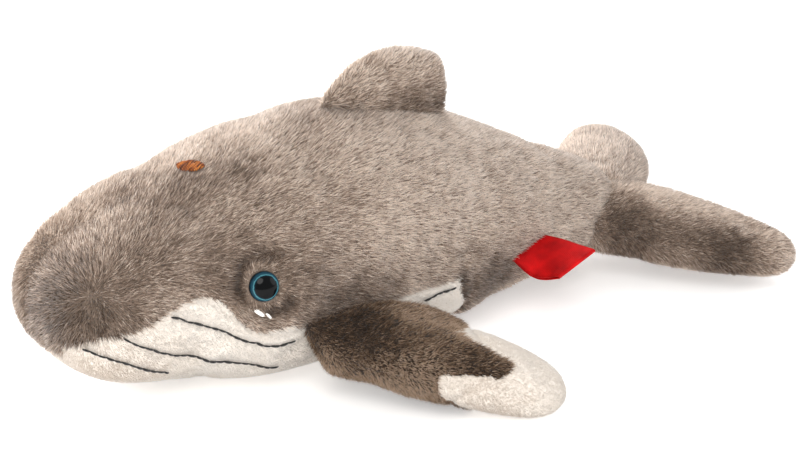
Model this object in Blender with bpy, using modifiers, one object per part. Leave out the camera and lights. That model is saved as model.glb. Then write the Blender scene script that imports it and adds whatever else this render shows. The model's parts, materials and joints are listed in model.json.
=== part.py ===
# Plush whale lying on its belly: sewn pile-fabric panels over stuffing, with flippers,
# tail flukes, a back fin, safety eyes, embroidery and a side label.
# Metres, +Z up. The head points along -X, the whale's left side faces -Y, the floor is z = 0.

import math

import bpy
import bmesh
from mathutils import Matrix, Vector
from mathutils.bvhtree import BVHTree

# Body
BODY_LENGTH = 0.270
BODY_WIDTH = 0.106
BODY_HEIGHT = 0.0955
FLOOR_CUT_DEPTH = 0.0005

# Fabric, and the room left around it
FABRIC_THICKNESS = 0.002
SEAM_GAP = 0.0005
STUFFING_GAP = 0.0003
SEAT_GAP = 0.0003
HINGE_GAP = 0.0005
CUT_OVERRUN = 0.004
LIMB_ROOT_DEPTH = 0.004

# Flippers
FLIPPER_LENGTH = 0.088
FLIPPER_CHORD = 0.044
FLIPPER_THICKNESS = 0.0225
FLIPPER_ROOT_LENGTH = 0.044
FLIPPER_CURVE = 0.002
FLIPPER_TIP_HEIGHT = 0.0095
TONGUE_LENGTH = 0.038
FLIPPER_STUFFING_GAP = 0.0021
FLIPPER_SWING_DEG = (-15, 40)

# Tail flukes
FLUKE_LENGTH = 0.080
FLUKE_CHORD = 0.038
FLUKE_THICKNESS = 0.0235
LEFT_FLUKE_CURVE = 0
RIGHT_FLUKE_CURVE = -0.006
LEFT_FLUKE_TIP_HEIGHT = 0.0135
RIGHT_FLUKE_TIP_HEIGHT = 0.0205
FLUKE_STUFFING_GAP = 0.0009
FLUKE_SWING_DEG = (-20, 25)

# Back fin
FIN_BASE_LENGTH = 0.062
FIN_HEIGHT = 0.0305
FIN_THICKNESS = 0.018
FIN_STUFFING_GAP = 0.0012
FIN_SWING_DEG = (-15, 15)
ROOT_LIP_THICKNESS = 0.005

# Safety eyes
EYE_RADIUS = 0.006
EYE_DOME_HEIGHT = 0.0036
EYE_RIM_HEIGHT = 0.0008
EYE_POST_RADIUS = 0.002
EYE_POST_LENGTH = 0.012
EYE_SEAT_DEPTH = 0.0009
WASHER_RADIUS = 0.0072
WASHER_THICKNESS = 0.0012
WASHER_SEAT_DEPTH = 0.0002

# Embroidery
THREAD_RADIUS = 0.00045
BLOWHOLE_LENGTH = 0.0126
BLOWHOLE_WIDTH = 0.0070
BLOWHOLE_THICKNESS = 0.0009
GLINT_LENGTH = 0.0046
GLINT_RADIUS = 0.00055

# Side label, a ribbon folded once
LABEL_WIDTH = 0.0195
LABEL_LENGTH = 0.025
LABEL_LOOP_RADIUS = 0.0009
RIBBON_THICKNESS = 0.0006

# Stations of the body from the nose to the tail. Each row holds the place along the body,
# half width, crown height, belly height, height of the widest line and the turn of the side
# seam. Widths and heights are shares of the half width and of the height, and a turn is a
# share of a quarter circle above the widest line.
BODY_STATION_SHARES = (
    (0.012, 0.480, 0.520, 0.270, 0.320, -0.06),
    (0.055, 0.735, 0.635, 0.130, 0.330, 0.18),
    (0.110, 0.870, 0.720, 0.050, 0.345, 0.22),
    (0.195, 0.960, 0.815, -0.005, 0.370, 0.46),
    (0.268, 1.000, 0.885, -0.020, 0.385, -0.13),
    (0.355, 1.015, 0.950, -0.020, 0.390, -0.045),
    (0.467, 0.995, 0.990, -0.020, 0.390, -0.035),
    (0.563, 0.935, 0.965, -0.020, 0.375, -0.035),
    (0.635, 0.870, 0.910, -0.005, 0.355, -0.02),
    (0.735, 0.745, 0.780, 0.040, 0.320, 0.02),
    (0.835, 0.590, 0.620, 0.080, 0.290, 0.08),
    (0.920, 0.440, 0.500, 0.065, 0.270, 0.06),
    (0.980, 0.340, 0.430, 0.055, 0.250, 0.06),
)
NOSE_HEIGHT_SHARE = 0.29
TAIL_END_HEIGHT_SHARE = 0.255
SHOULDER_TURN_SHARE = 0.62
BELLY_SQUARENESS_SHARE = 0.68
THROAT_END_STATION = 8
THIN_LIP_SHARE = 0.42
FRAME_SPAN_SHARE = 0.02

# Limb stations from root to tip. Each row holds the place along the limb, the chord and
# thickness, how far the chord has turned from the root line to the limb's own, and for the
# flipper how far the tongue reaches towards the tip, all as shares of the limb's sizes.
FLIPPER_STATION_SHARES = (
    (0.000, 1.030, 0.620, 0.00, 0.00),
    (0.110, 1.080, 1.190, 0.25, 0.00),
    (0.290, 1.080, 1.240, 0.70, 0.35),
    (0.470, 0.990, 1.080, 1.00, 1.00),
    (0.700, 0.890, 0.950, 1.00, 0.52),
    (0.880, 0.700, 0.800, 1.00, 0.16),
)
FLUKE_STATION_SHARES = (
    (0.000, 0.900, 0.820, 0.0, 0.0),
    (0.120, 1.120, 1.200, 0.5, 0.0),
    (0.360, 1.150, 1.080, 1.0, 0.0),
    (0.640, 1.020, 0.840, 1.0, 0.0),
    (0.880, 0.670, 0.640, 1.0, 0.0),
)
FLIPPER_TIP_STATION = 3
TONGUE_TURN_DEG = 135
TONGUE_TAPER = 5
LIMB_DROOP_POWER = 1.15

# Fin stations from the base up: height, shift of the chord towards the tail, chord, thickness.
FIN_STATION_SHARES = (
    (0.00, 0.000, 1.000, 0.00),
    (0.24, 0.010, 0.930, 0.86),
    (0.56, 0.035, 0.780, 0.92),
    (0.84, 0.110, 0.540, 0.76),
)
FIN_TOP_SHIFT_SHARE = 0.16

# Where the limbs join the body, as places along it, turns around it and plan angles.
FLIPPER_ROOT_ALONG_SHARE = 0.428
FLIPPER_ROOT_FRONT_TURN_SHARE = -0.115
FLIPPER_ROOT_REAR_TURN_SHARE = -0.045
FLIPPER_SWEEP_DEG = 46
FLUKE_ROOT_ALONG_SHARE = 0.925
FLUKE_ROOT_TURN_DEG = 42
LEFT_FLUKE_SWEEP_DEG = 44
RIGHT_FLUKE_SWEEP_DEG = 51
FIN_ALONG_SHARE = 0.580

# Eye, blowhole and label places: along the body, and turn.
EYE_PLACE_SHARES = (0.286, 0.19)
BLOWHOLE_PLACE_SHARES = (0.266, 0.97)
BLOWHOLE_SLANT_DEG = -67
GLINT_PLACE_SHARES = ((0.272, 0.062), (0.287, 0.040))
GLINT_SLANT_DEG = -54
LABEL_PLACE_SHARES = (0.752, 0.035)
LABEL_SWEEP_DEG = 33
LABEL_RISE_DEG = 0

# Throat lines, each a route of places along the body and turns around it.
THROAT_LINE_SHARES = (
    ((0.153, 0.165), (0.194, 0.069), (0.221, 0.017), (0.245, -0.044), (0.264, -0.079),
     (0.292, -0.117), (0.331, -0.115)),
    ((0.083, 0.125), (0.099, 0.065), (0.129, -0.010), (0.160, -0.090), (0.203, -0.175),
     (0.220, -0.217), (0.263, -0.245), (0.292, -0.281), (0.322, -0.300)),
    ((0.035, 0.080), (0.057, 0.027), (0.077, -0.029), (0.110, -0.121), (0.128, -0.174),
     (0.165, -0.270)),
    ((0.550, -0.105), (0.573, -0.079), (0.596, -0.075), (0.618, -0.073)),
)

# Mesh counts
BODY_SMOOTHING = 1
LIMB_SMOOTHING = 1
BODY_RING_POINTS = 10
LIMB_RING_POINTS = 8
TURNED_STEPS = 24
THREAD_POINTS_PER_SPAN = 3
EYE_DOME_STEPS = 5
OVAL_SEGMENTS = 12
LABEL_LOOP_STEPS = 5

# Colours in linear light, and surface values
GREY_FABRIC = ((0.42, 0.34, 0.29), 0.95, 0.0)
DARK_FABRIC = ((0.085, 0.058, 0.042), 0.95, 0.0)
WHITE_FABRIC = ((0.80, 0.74, 0.68), 0.95, 0.0)
STUFFING_FIBRE = ((0.85, 0.85, 0.83), 1.0, 0.0)
EYE_PLASTIC = ((0.01, 0.02, 0.03), 0.08, 0.0)
WASHER_PLASTIC = ((0.75, 0.75, 0.72), 0.40, 0.0)
BLACK_THREAD = ((0.01, 0.01, 0.01), 0.60, 0.0)
WHITE_THREAD = ((0.85, 0.82, 0.78), 0.60, 0.0)
BROWN_THREAD = ((0.28, 0.085, 0.025), 0.60, 0.0)
RED_RIBBON = ((0.53, 0.025, 0.027), 0.45, 0.0)

PANEL_NAMES = ("back_skin_left", "back_skin_right", "throat_skin", "rear_belly_skin")
BACK_LEFT, BACK_RIGHT, THROAT, REAR_BELLY = range(4)
UPPER, LOWER, TIP, NO_PANEL = range(4)
SIDES = (("left", -1), ("right", 1))


# Scene and materials

def clear_scene():
    for obj in list(bpy.data.objects):
        bpy.data.objects.remove(obj)


def new_collection(name):
    collection = bpy.data.collections.new(name)
    bpy.context.scene.collection.children.link(collection)
    return collection


def make_material(name, finish):
    colour, roughness, metallic = finish
    material = bpy.data.materials.new(name)
    material.use_nodes = True
    shader = material.node_tree.nodes["Principled BSDF"]
    shader.inputs["Base Color"].default_value = (*colour, 1)
    shader.inputs["Roughness"].default_value = roughness
    shader.inputs["Metallic"].default_value = metallic
    return material


def add_object(name, mesh, finish=None):
    obj = bpy.data.objects.new(name, mesh)
    whale.objects.link(obj)
    if finish:
        mesh.materials.clear()
        mesh.materials.append(make_material(name, finish))
    return obj


def add_guide(name, mesh):
    obj = bpy.data.objects.new(name, mesh)
    guides.objects.link(obj)
    obj.hide_render = True
    obj.display_type = "WIRE"
    return obj


def mesh_from(bm, name):
    mesh = bpy.data.meshes.new(name)
    bm.to_mesh(mesh)
    bm.free()
    return mesh


def cut(obj, cutter):
    boolean = obj.modifiers.new(cutter.name, "BOOLEAN")
    boolean.operation = "DIFFERENCE"
    boolean.object = cutter


def evaluated_mesh(obj):
    depsgraph = bpy.context.evaluated_depsgraph_get()
    return bpy.data.meshes.new_from_object(obj.evaluated_get(depsgraph))


# Soft forms: rings of a coarse cage, smoothed

def cage_growth(count):
    # A smoothed ring of this many points lies inside its cage by the inverse of this ratio.
    return 6 / (4 + 2 * math.cos(math.tau / count))


def smooth_form(name, rings, start, end, panel_of, levels):
    # Lofts the rings into a closed cage between two end points and smooths it. The result is
    # in triangles, so that the fabric and the stuffing made from it follow the same facets.
    # panel_of gives the fabric panel of the face after ring i, on segment j.
    bm = bmesh.new()
    rows = [[bm.verts.new(point) for point in ring] for ring in rings]
    start_vert = bm.verts.new(start)
    end_vert = bm.verts.new(end)
    count = len(rings[0])
    for j in range(count):
        k = (j + 1) % count
        face = bm.faces.new((start_vert, rows[0][j], rows[0][k]))
        face.material_index = panel_of(-1, j)
        for i in range(len(rows) - 1):
            face = bm.faces.new((rows[i][j], rows[i + 1][j], rows[i + 1][k], rows[i][k]))
            face.material_index = panel_of(i, j)
        face = bm.faces.new((rows[-1][j], end_vert, rows[-1][k]))
        face.material_index = panel_of(len(rows) - 1, j)
    bmesh.ops.recalc_face_normals(bm, faces=bm.faces)
    for face in bm.faces:
        face.smooth = True
    mesh = mesh_from(bm, name)
    for index in range(len(PANEL_NAMES)):
        mesh.materials.append(None)
    cage = add_guide(name, mesh)
    subdivision = cage.modifiers.new("smoothing", "SUBSURF")
    subdivision.levels = levels
    subdivision.render_levels = levels
    form = evaluated_mesh(cage)
    bm = bmesh.new()
    bm.from_mesh(form)
    bmesh.ops.triangulate(bm, faces=bm.faces)
    bm.to_mesh(form)
    bm.free()
    return form


def settle(mesh, depth):
    # Lowers or lifts a form until its lowest point is this far under the floor.
    lowest = min(vert.co.z for vert in mesh.vertices)
    mesh.transform(Matrix.Translation((0, 0, -depth - lowest)))
    return -depth - lowest


def tree_of(mesh):
    points = [vert.co for vert in mesh.vertices]
    return BVHTree.FromPolygons(points, [face.vertices for face in mesh.polygons])


def offset_mesh(form, name, distance):
    # The closed form moved along its normals, outwards where the distance is positive.
    mesh = form.copy()
    mesh.name = name
    for vert, source in zip(mesh.vertices, form.vertices):
        vert.co = source.co + source.normal * distance
    return mesh


def local_thickness(form, tree):
    # Fabric thickness at each point, thinner where the two sides of the form come close.
    reach = []
    for vert in form.vertices:
        start = vert.co - vert.normal * SEAM_GAP
        hit = tree.ray_cast(start, -vert.normal)
        depth = hit[3] if hit[0] else FABRIC_THICKNESS
        reach.append(min(FABRIC_THICKNESS, (depth - SEAM_GAP) * THIN_LIP_SHARE))
    lowest = list(reach)
    for edge in form.edges:
        a, b = edge.vertices
        lowest[a] = min(lowest[a], reach[b])
        lowest[b] = min(lowest[b], reach[a])
    return lowest


def fabric_panel(form, tree, panel, name, finish):
    # One sewn panel: the form's faces with this index, thickened inwards along the whole
    # form's normals, so that neighbours keep an even gap at the seam.
    thickness = local_thickness(form, tree)
    faces = [face for face in form.polygons if face.material_index == panel]
    edge_faces = {}
    for face in faces:
        for key in face.edge_keys:
            edge_faces.setdefault(key, []).append(face)
    inward = {}
    for key, users in edge_faces.items():
        if len(users) == 1:
            a, b = (form.vertices[index].co for index in key)
            edge = (b - a).normalized()
            pull = users[0].center - a
            pull = (pull - edge * pull.dot(edge)).normalized()
            for index in key:
                inward[index] = inward.get(index, Vector()) + pull
    bm = bmesh.new()
    outer = {}
    inner = {}
    for index in sorted({index for face in faces for index in face.vertices}):
        vert = form.vertices[index]
        place = vert.co.copy()
        if index in inward:
            pull = inward[index] - vert.normal * inward[index].dot(vert.normal)
            place += pull.normalized() * SEAM_GAP / 2
        outer[index] = bm.verts.new(place)
        inner[index] = bm.verts.new(place - vert.normal * thickness[index])
    for face in faces:
        loop = list(face.vertices)
        bm.faces.new([outer[index] for index in loop]).smooth = True
        bm.faces.new([inner[index] for index in reversed(loop)]).smooth = True
        for start, end in zip(loop, loop[1:] + loop[:1]):
            if len(edge_faces[min(start, end), max(start, end)]) == 1:
                bm.faces.new((outer[end], outer[start], inner[start], inner[end]))
    return add_object(name, mesh_from(bm, name), finish)


# Body

def section_point(station, turn, side):
    # A point on the body's section, by its turn above or below the widest line.
    along, width, crown, belly, widest, _ = station
    angle = abs(turn) * math.pi / 2
    reach = math.cos(angle)
    rise = math.sin(angle)
    if turn < 0:
        reach = reach ** BELLY_SQUARENESS_SHARE
        rise = rise ** BELLY_SQUARENESS_SHARE
    height = (crown - widest) if turn > 0 else (belly - widest)
    growth = cage_growth(BODY_RING_POINTS)
    return Vector((
        (along - 0.5) * BODY_LENGTH,
        side * width * reach * growth * BODY_WIDTH / 2,
        (widest + height * rise * growth) * BODY_HEIGHT,
    ))


def body_ring(station):
    seam = station[5]
    turns = (SHOULDER_TURN_SHARE, (SHOULDER_TURN_SHARE + seam) / 2, seam, (seam - 1) / 2)
    left = [section_point(station, turn, -1) for turn in turns]
    right = [section_point(station, turn, 1) for turn in reversed(turns)]
    return [section_point(station, 1, 0), *left, section_point(station, -1, 0), *right]


def body_panel(ring, segment):
    # Segments 0 to 2 are the left back, 3 to 6 the belly, 7 to 9 the right back.
    if 3 <= segment <= 6 and ring >= 0:
        return THROAT if ring < THROAT_END_STATION else REAR_BELLY
    return BACK_LEFT if segment <= 4 else BACK_RIGHT


def make_body_form():
    half = BODY_LENGTH / 2
    nose = Vector((-half, 0, NOSE_HEIGHT_SHARE * BODY_HEIGHT))
    tail = Vector((half, 0, TAIL_END_HEIGHT_SHARE * BODY_HEIGHT))
    rings = [body_ring(station) for station in BODY_STATION_SHARES]
    form = smooth_form("body_form", rings, nose, tail, body_panel, BODY_SMOOTHING)
    settle(form, FLOOR_CUT_DEPTH)
    return form


def widest_height(along):
    # Height of the body's widest line at a place along it.
    places = [station[0] for station in BODY_STATION_SHARES]
    heights = [station[4] for station in BODY_STATION_SHARES]
    for i in range(len(places) - 1):
        if along < places[i + 1]:
            blend = (along - places[i]) / (places[i + 1] - places[i])
            return (heights[i] + (heights[i + 1] - heights[i]) * max(blend, 0)) * BODY_HEIGHT
    return heights[-1] * BODY_HEIGHT


def skin_point(along, turn, side):
    # The point of the body's surface at a place along it and a turn around it.
    angle = turn * math.pi / 2
    start = Vector(((along - 0.5) * BODY_LENGTH, 0, widest_height(along)))
    heading = Vector((0, side * math.cos(angle), math.sin(angle)))
    return body_tree.ray_cast(start, heading)[0]


def skin_frame(along, turn, side):
    # Surface point with its outward normal, its direction towards the tail and the third axis.
    span = FRAME_SPAN_SHARE
    point = skin_point(along, turn, side)
    tailward = (skin_point(along + span, turn, side) - skin_point(along - span, turn, side))
    tailward.normalize()
    around = skin_point(along, turn + span, side) - skin_point(along, turn - span, side)
    normal = tailward.cross(around).normalized()
    if normal.dot(point - Vector((point.x, 0, widest_height(along)))) < 0:
        normal.negate()
    return point, normal, tailward, normal.cross(tailward)


def frame_matrix(point, normal, tailward, third):
    # Local X runs towards the tail and local Z out of the skin.
    matrix = Matrix((tailward, third, normal)).transposed().to_4x4()
    matrix.translation = point
    return matrix


# Limbs

def limb_ring(centre, chord, up, heading, half_chord, half_thickness, bow):
    ring = []
    growth = cage_growth(LIMB_RING_POINTS)
    for j in range(LIMB_RING_POINTS):
        angle = math.tau * j / LIMB_RING_POINTS
        across = chord * math.cos(angle) * half_chord * growth
        lift = up * math.sin(angle) * half_thickness * growth
        tongue = max(math.cos(angle - math.radians(TONGUE_TURN_DEG)), 0) ** TONGUE_TAPER
        ring.append(centre + across + lift + heading * bow * tongue)
    return ring


def limb_rings(limb, stations, inset):
    # Rings of a flipper or fluke, drawn in by the inset for its stuffing.
    rings = []
    reach = 1 - 2 * inset / limb["length"]
    for along, chord, thickness, turn, bow in stations:
        centre = limb_centre(limb, along * reach)
        direction = limb["root_line"].lerp(limb["chord_line"], turn).normalized()
        half_thickness = max(thickness * limb["thickness"], ROOT_LIP_THICKNESS) / 2
        up = direction.cross(limb["heading"])
        up = up * math.copysign(1, up.z)
        rings.append(limb_ring(
            centre, direction, up.normalized(), limb["heading"],
            chord * limb["chord"] / 2 - inset, half_thickness - inset,
            bow * limb["bow"],
        ))
    return rings


def limb_centre(limb, along):
    # The centre line leaves the root, runs out level and sinks to the tip's height.
    root = limb["root"]
    level = root + limb["heading"] * limb["length"] * along
    fall = root.z - limb["tip_height"]
    level.z = limb["tip_height"] + fall * (1 - along) ** LIMB_DROOP_POWER
    return level - limb["chord_line"] * limb["curve"] * 4 * along * (1 - along)


def make_limb_form(limb, name, stations, panel_of):
    root = limb_centre(limb, 0) - limb["heading"] * LIMB_ROOT_DEPTH
    tip = limb_centre(limb, 1)
    rings = limb_rings(limb, stations, 0)
    rings[0] = [point - limb["heading"] * LIMB_ROOT_DEPTH / 2 for point in rings[0]]
    form = smooth_form(name, rings, root, tip, panel_of, LIMB_SMOOTHING)
    limb["lift"] = settle(form, FLOOR_CUT_DEPTH) if limb["on_floor"] else 0
    return form


def make_limb_stuffing(limb, name, stations):
    inset = FABRIC_THICKNESS + limb["stuffing_gap"]
    rings = limb_rings(limb, stations[1:], inset)
    start = limb_centre(limb, stations[1][0] * 2 / 3)
    end = limb_centre(limb, 1 - 2 * inset / limb["length"])
    form = smooth_form(name + "_form", rings, start, end, lambda i, j: 0, LIMB_SMOOTHING)
    form.transform(Matrix.Translation((0, 0, limb["lift"])))
    form.name = name
    return add_object(name, form, STUFFING_FIBRE)


def limb_panel(ring, segment):
    # The first half of the segments is the upper side. The root's end face has no fabric.
    if ring < 0:
        return NO_PANEL
    return UPPER if segment < LIMB_RING_POINTS / 2 else LOWER


def flipper_panel(ring, segment):
    return TIP if ring >= FLIPPER_TIP_STATION else limb_panel(ring, segment)


def make_far_half(side_name, side):
    # The room of the other side, which a fluke keeps out of over its whole swing.
    name = side_name + "_far_half"
    room = bmesh.new()
    bmesh.ops.create_cube(room, size=BODY_LENGTH)
    middle = (BODY_LENGTH - HINGE_GAP) / 2
    room.transform(Matrix.Translation((BODY_LENGTH / 2, -side * middle, 0)))
    return add_guide(name, mesh_from(room, name))


def hang_on_body(pieces, name, hinge, axis, swing_deg, blockers):
    # Frees the pieces for their swing: they lose what a blocker would meet at either limit,
    # which is the blocker turned back about the hinge. Then they are parented to the hinge.
    there = Matrix.Translation(hinge)
    for limit, angle in zip(("low", "high"), swing_deg):
        turn = Matrix.Rotation(-math.radians(angle), 4, axis)
        for blocker in blockers:
            mesh = blocker.data.copy()
            mesh.transform(there @ turn @ there.inverted())
            cutter = add_guide(f"{name}_{limit}_{blocker.name}", mesh)
            for piece in pieces:
                cut(piece, cutter)
    pivot = bpy.data.objects.new(name + "_hinge", None)
    whale.objects.link(pivot)
    pivot.location = hinge
    for piece in pieces:
        piece.data.transform(there.inverted())
        piece.parent = pivot
    hinge_axes[pivot] = axis


def hang_limb(limb, name, pieces, side):
    hinge = limb["root"] + Vector((0, 0, limb["lift"] + limb["hinge_rise"]))
    axis = limb["root_line"] * side
    hang_on_body(pieces, name, hinge, axis, limb["swing_deg"], limb["blockers"])


def make_flipper(side_name, side):
    half = FLIPPER_ROOT_LENGTH / BODY_LENGTH / 2
    front = skin_point(FLIPPER_ROOT_ALONG_SHARE - half, FLIPPER_ROOT_FRONT_TURN_SHARE, side)
    rear = skin_point(FLIPPER_ROOT_ALONG_SHARE + half, FLIPPER_ROOT_REAR_TURN_SHARE, side)
    sweep = math.radians(FLIPPER_SWEEP_DEG)
    limb = {
        "root": (front + rear) / 2,
        "root_line": (rear - front).normalized(),
        "heading": Vector((math.sin(sweep), side * math.cos(sweep), 0)),
        "chord_line": Vector((math.cos(sweep), -side * math.sin(sweep), 0)),
        "length": FLIPPER_LENGTH,
        "chord": FLIPPER_CHORD,
        "thickness": FLIPPER_THICKNESS,
        "tip_height": FLIPPER_TIP_HEIGHT,
        "bow": TONGUE_LENGTH,
        "curve": FLIPPER_CURVE,
        "stuffing_gap": FLIPPER_STUFFING_GAP,
        "on_floor": True,
        "hinge_rise": FLIPPER_THICKNESS * FLIPPER_STATION_SHARES[0][2] / 2,
        "swing_deg": FLIPPER_SWING_DEG,
        "blockers": [body_cutter],
    }
    name = side_name + "_flipper"
    form = make_limb_form(limb, name + "_form", FLIPPER_STATION_SHARES, flipper_panel)
    tree = tree_of(form)
    pieces = [
        fabric_panel(form, tree, UPPER, name + "_upper_skin", DARK_FABRIC),
        fabric_panel(form, tree, LOWER, name + "_lower_skin", DARK_FABRIC),
        fabric_panel(form, tree, TIP, name + "_tip_skin", WHITE_FABRIC),
    ]
    for piece in pieces:
        cut(piece, body_cutter)
        cut(piece, floor_cutter)
    pieces.append(make_limb_stuffing(limb, name + "_stuffing", FLIPPER_STATION_SHARES))
    hang_limb(limb, name, pieces, side)


def make_fluke(side_name, side):
    turn = math.radians(FLUKE_ROOT_TURN_DEG)
    sweep = math.radians(LEFT_FLUKE_SWEEP_DEG if side < 0 else RIGHT_FLUKE_SWEEP_DEG)
    outward = Vector((math.cos(turn), side * math.sin(turn), 0))
    inside = Vector(((FLUKE_ROOT_ALONG_SHARE - 0.5) * BODY_LENGTH, 0,
                     widest_height(FLUKE_ROOT_ALONG_SHARE)))
    limb = {
        "root": body_tree.ray_cast(inside, outward)[0],
        "root_line": Vector((math.sin(turn), -side * math.cos(turn), 0)),
        "heading": Vector((math.cos(sweep), side * math.sin(sweep), 0)),
        "chord_line": Vector((math.sin(sweep), -side * math.cos(sweep), 0)),
        "length": FLUKE_LENGTH,
        "chord": FLUKE_CHORD,
        "thickness": FLUKE_THICKNESS,
        "tip_height": LEFT_FLUKE_TIP_HEIGHT if side < 0 else RIGHT_FLUKE_TIP_HEIGHT,
        "bow": 0,
        "curve": LEFT_FLUKE_CURVE if side < 0 else RIGHT_FLUKE_CURVE,
        "stuffing_gap": FLUKE_STUFFING_GAP,
        "on_floor": False,
        "hinge_rise": FLUKE_THICKNESS * FLUKE_STATION_SHARES[0][2] / 2,
        "swing_deg": FLUKE_SWING_DEG,
        "blockers": [body_cutter, make_far_half(side_name, side)],
    }
    name = side_name + "_fluke"
    form = make_limb_form(limb, name + "_form", FLUKE_STATION_SHARES, limb_panel)
    tree = tree_of(form)
    pieces = [
        fabric_panel(form, tree, UPPER, name + "_upper_skin", GREY_FABRIC),
        fabric_panel(form, tree, LOWER, name + "_lower_skin", GREY_FABRIC),
    ]
    for piece in pieces:
        cut(piece, body_cutter)
        cut(piece, floor_cutter)
    pieces.append(make_limb_stuffing(limb, name + "_stuffing", FLUKE_STATION_SHARES))
    hang_limb(limb, name, pieces, side)


def fin_rings(base, tailward, up, inset):
    rings = []
    across = up.cross(tailward).normalized()
    reach = FIN_HEIGHT - 2 * inset
    for height, shift, chord, thickness in FIN_STATION_SHARES:
        centre = base + up * height * reach + tailward * shift * FIN_BASE_LENGTH
        half_thickness = max(thickness * FIN_THICKNESS, ROOT_LIP_THICKNESS) / 2
        rings.append(limb_ring(
            centre, tailward, across, up, chord * FIN_BASE_LENGTH / 2 - inset,
            half_thickness - inset, 0,
        ))
    return rings


def make_fin():
    half = FIN_BASE_LENGTH / BODY_LENGTH / 2
    front = skin_point(FIN_ALONG_SHARE - half, 1, 0)
    rear = skin_point(FIN_ALONG_SHARE + half, 1, 0)
    middle = skin_point(FIN_ALONG_SHARE, 1, 0)
    tailward = (rear - front).normalized()
    up = Vector((-tailward.z, 0, tailward.x))
    base = (front + rear) / 2
    top = base + up * FIN_HEIGHT + tailward * FIN_TOP_SHIFT_SHARE * FIN_BASE_LENGTH
    rings = fin_rings(base, tailward, up, 0)
    rings[0] = [point - up * LIMB_ROOT_DEPTH / 2 for point in rings[0]]
    start = base - up * LIMB_ROOT_DEPTH
    form = smooth_form("fin_form", rings, start, top, limb_panel, LIMB_SMOOTHING)
    tree = tree_of(form)
    pieces = [
        fabric_panel(form, tree, UPPER, "back_fin_right_skin", GREY_FABRIC),
        fabric_panel(form, tree, LOWER, "back_fin_left_skin", GREY_FABRIC),
    ]
    for piece in pieces:
        cut(piece, body_cutter)
    inset = FABRIC_THICKNESS + FIN_STUFFING_GAP
    rings = fin_rings(base, tailward, up, inset)[1:]
    start = middle + up * (FIN_STATION_SHARES[1][0] * FIN_HEIGHT * 2 / 3)
    end = top - up * inset * 2
    stuffing = smooth_form("fin_stuffing_form", rings, start, end, lambda i, j: 0, LIMB_SMOOTHING)
    pieces.append(add_object("back_fin_stuffing", stuffing, STUFFING_FIBRE))
    hang_on_body(pieces, "back_fin", middle, tailward, FIN_SWING_DEG, [body_cutter])


# Eyes

def turned_piece(name, profile, finish):
    # Spins a profile of radius and height pairs about local Z.
    bm = bmesh.new()
    verts = [bm.verts.new((radius, 0, height)) for radius, height in profile]
    for start, end in zip(verts, verts[1:]):
        bm.edges.new((start, end))
    obj = add_object(name, mesh_from(bm, name), finish)
    screw = obj.modifiers.new("turning", "SCREW")
    screw.steps = TURNED_STEPS
    screw.render_steps = TURNED_STEPS
    screw.use_merge_vertices = True
    screw.merge_threshold = SEAT_GAP / 10
    return obj


def eye_profile():
    # From the top of the dome down its side to the flat back, then down the post.
    profile = [(0, EYE_RIM_HEIGHT + EYE_DOME_HEIGHT)]
    for step in range(1, EYE_DOME_STEPS + 1):
        angle = math.pi / 2 * step / EYE_DOME_STEPS
        height = EYE_RIM_HEIGHT + EYE_DOME_HEIGHT * math.cos(angle)
        profile.append((EYE_RADIUS * math.sin(angle), height))
    profile.append((EYE_RADIUS, 0))
    profile.append((EYE_POST_RADIUS, 0))
    profile.append((EYE_POST_RADIUS, EYE_POST_RADIUS / 2 - EYE_POST_LENGTH))
    profile.append((EYE_POST_RADIUS / 2, -EYE_POST_LENGTH))
    profile.append((0, -EYE_POST_LENGTH))
    return profile


def washer_profile():
    bore = EYE_POST_RADIUS + SEAT_GAP
    corners = [(bore, 0), (WASHER_RADIUS, 0), (WASHER_RADIUS, -WASHER_THICKNESS),
               (bore, -WASHER_THICKNESS)]
    return corners + corners[:1]


def round_cutter(name, matrix, radius, bottom, top):
    bm = bmesh.new()
    bmesh.ops.create_cone(bm, cap_ends=True, segments=TURNED_STEPS, radius1=radius,
                          radius2=radius, depth=top - bottom)
    bm.transform(Matrix.Translation((0, 0, (top + bottom) / 2)))
    cutter = add_guide(name, mesh_from(bm, name))
    cutter.matrix_world = matrix
    return cutter


def make_eye(side_name, side, back_skin, stuffing):
    matrix = frame_matrix(*skin_frame(*EYE_PLACE_SHARES, side))
    seat = -EYE_SEAT_DEPTH
    back = -(FABRIC_THICKNESS - WASHER_SEAT_DEPTH)
    washer_top = back - SEAT_GAP
    post_end = seat + SEAT_GAP - EYE_POST_LENGTH
    eye = turned_piece(side_name + "_eye", eye_profile(), EYE_PLASTIC)
    eye.matrix_world = matrix @ Matrix.Translation((0, 0, seat + SEAT_GAP))
    washer = turned_piece(side_name + "_eye_washer", washer_profile(), WASHER_PLASTIC)
    washer.matrix_world = matrix @ Matrix.Translation((0, 0, washer_top))
    for obj in (eye, washer):
        obj.data.shade_smooth()
    name = side_name + "_eye"
    hole_radius = EYE_POST_RADIUS + SEAT_GAP
    pocket_radius = WASHER_RADIUS + 2 * SEAT_GAP
    pocket = washer_top - WASHER_THICKNESS - SEAT_GAP
    cut(back_skin, round_cutter(name + "_seat", matrix, EYE_RADIUS + SEAT_GAP, seat, CUT_OVERRUN))
    cut(back_skin, round_cutter(name + "_hole", matrix, hole_radius, back - CUT_OVERRUN,
                                CUT_OVERRUN))
    cut(back_skin, round_cutter(name + "_washer_seat", matrix, WASHER_RADIUS + SEAT_GAP,
                                back - CUT_OVERRUN, back))
    cut(stuffing, round_cutter(name + "_pocket", matrix, pocket_radius, pocket, CUT_OVERRUN))
    cut(stuffing, round_cutter(name + "_post_pocket", matrix, hole_radius,
                               post_end - SEAT_GAP, CUT_OVERRUN))


# Embroidery

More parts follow.
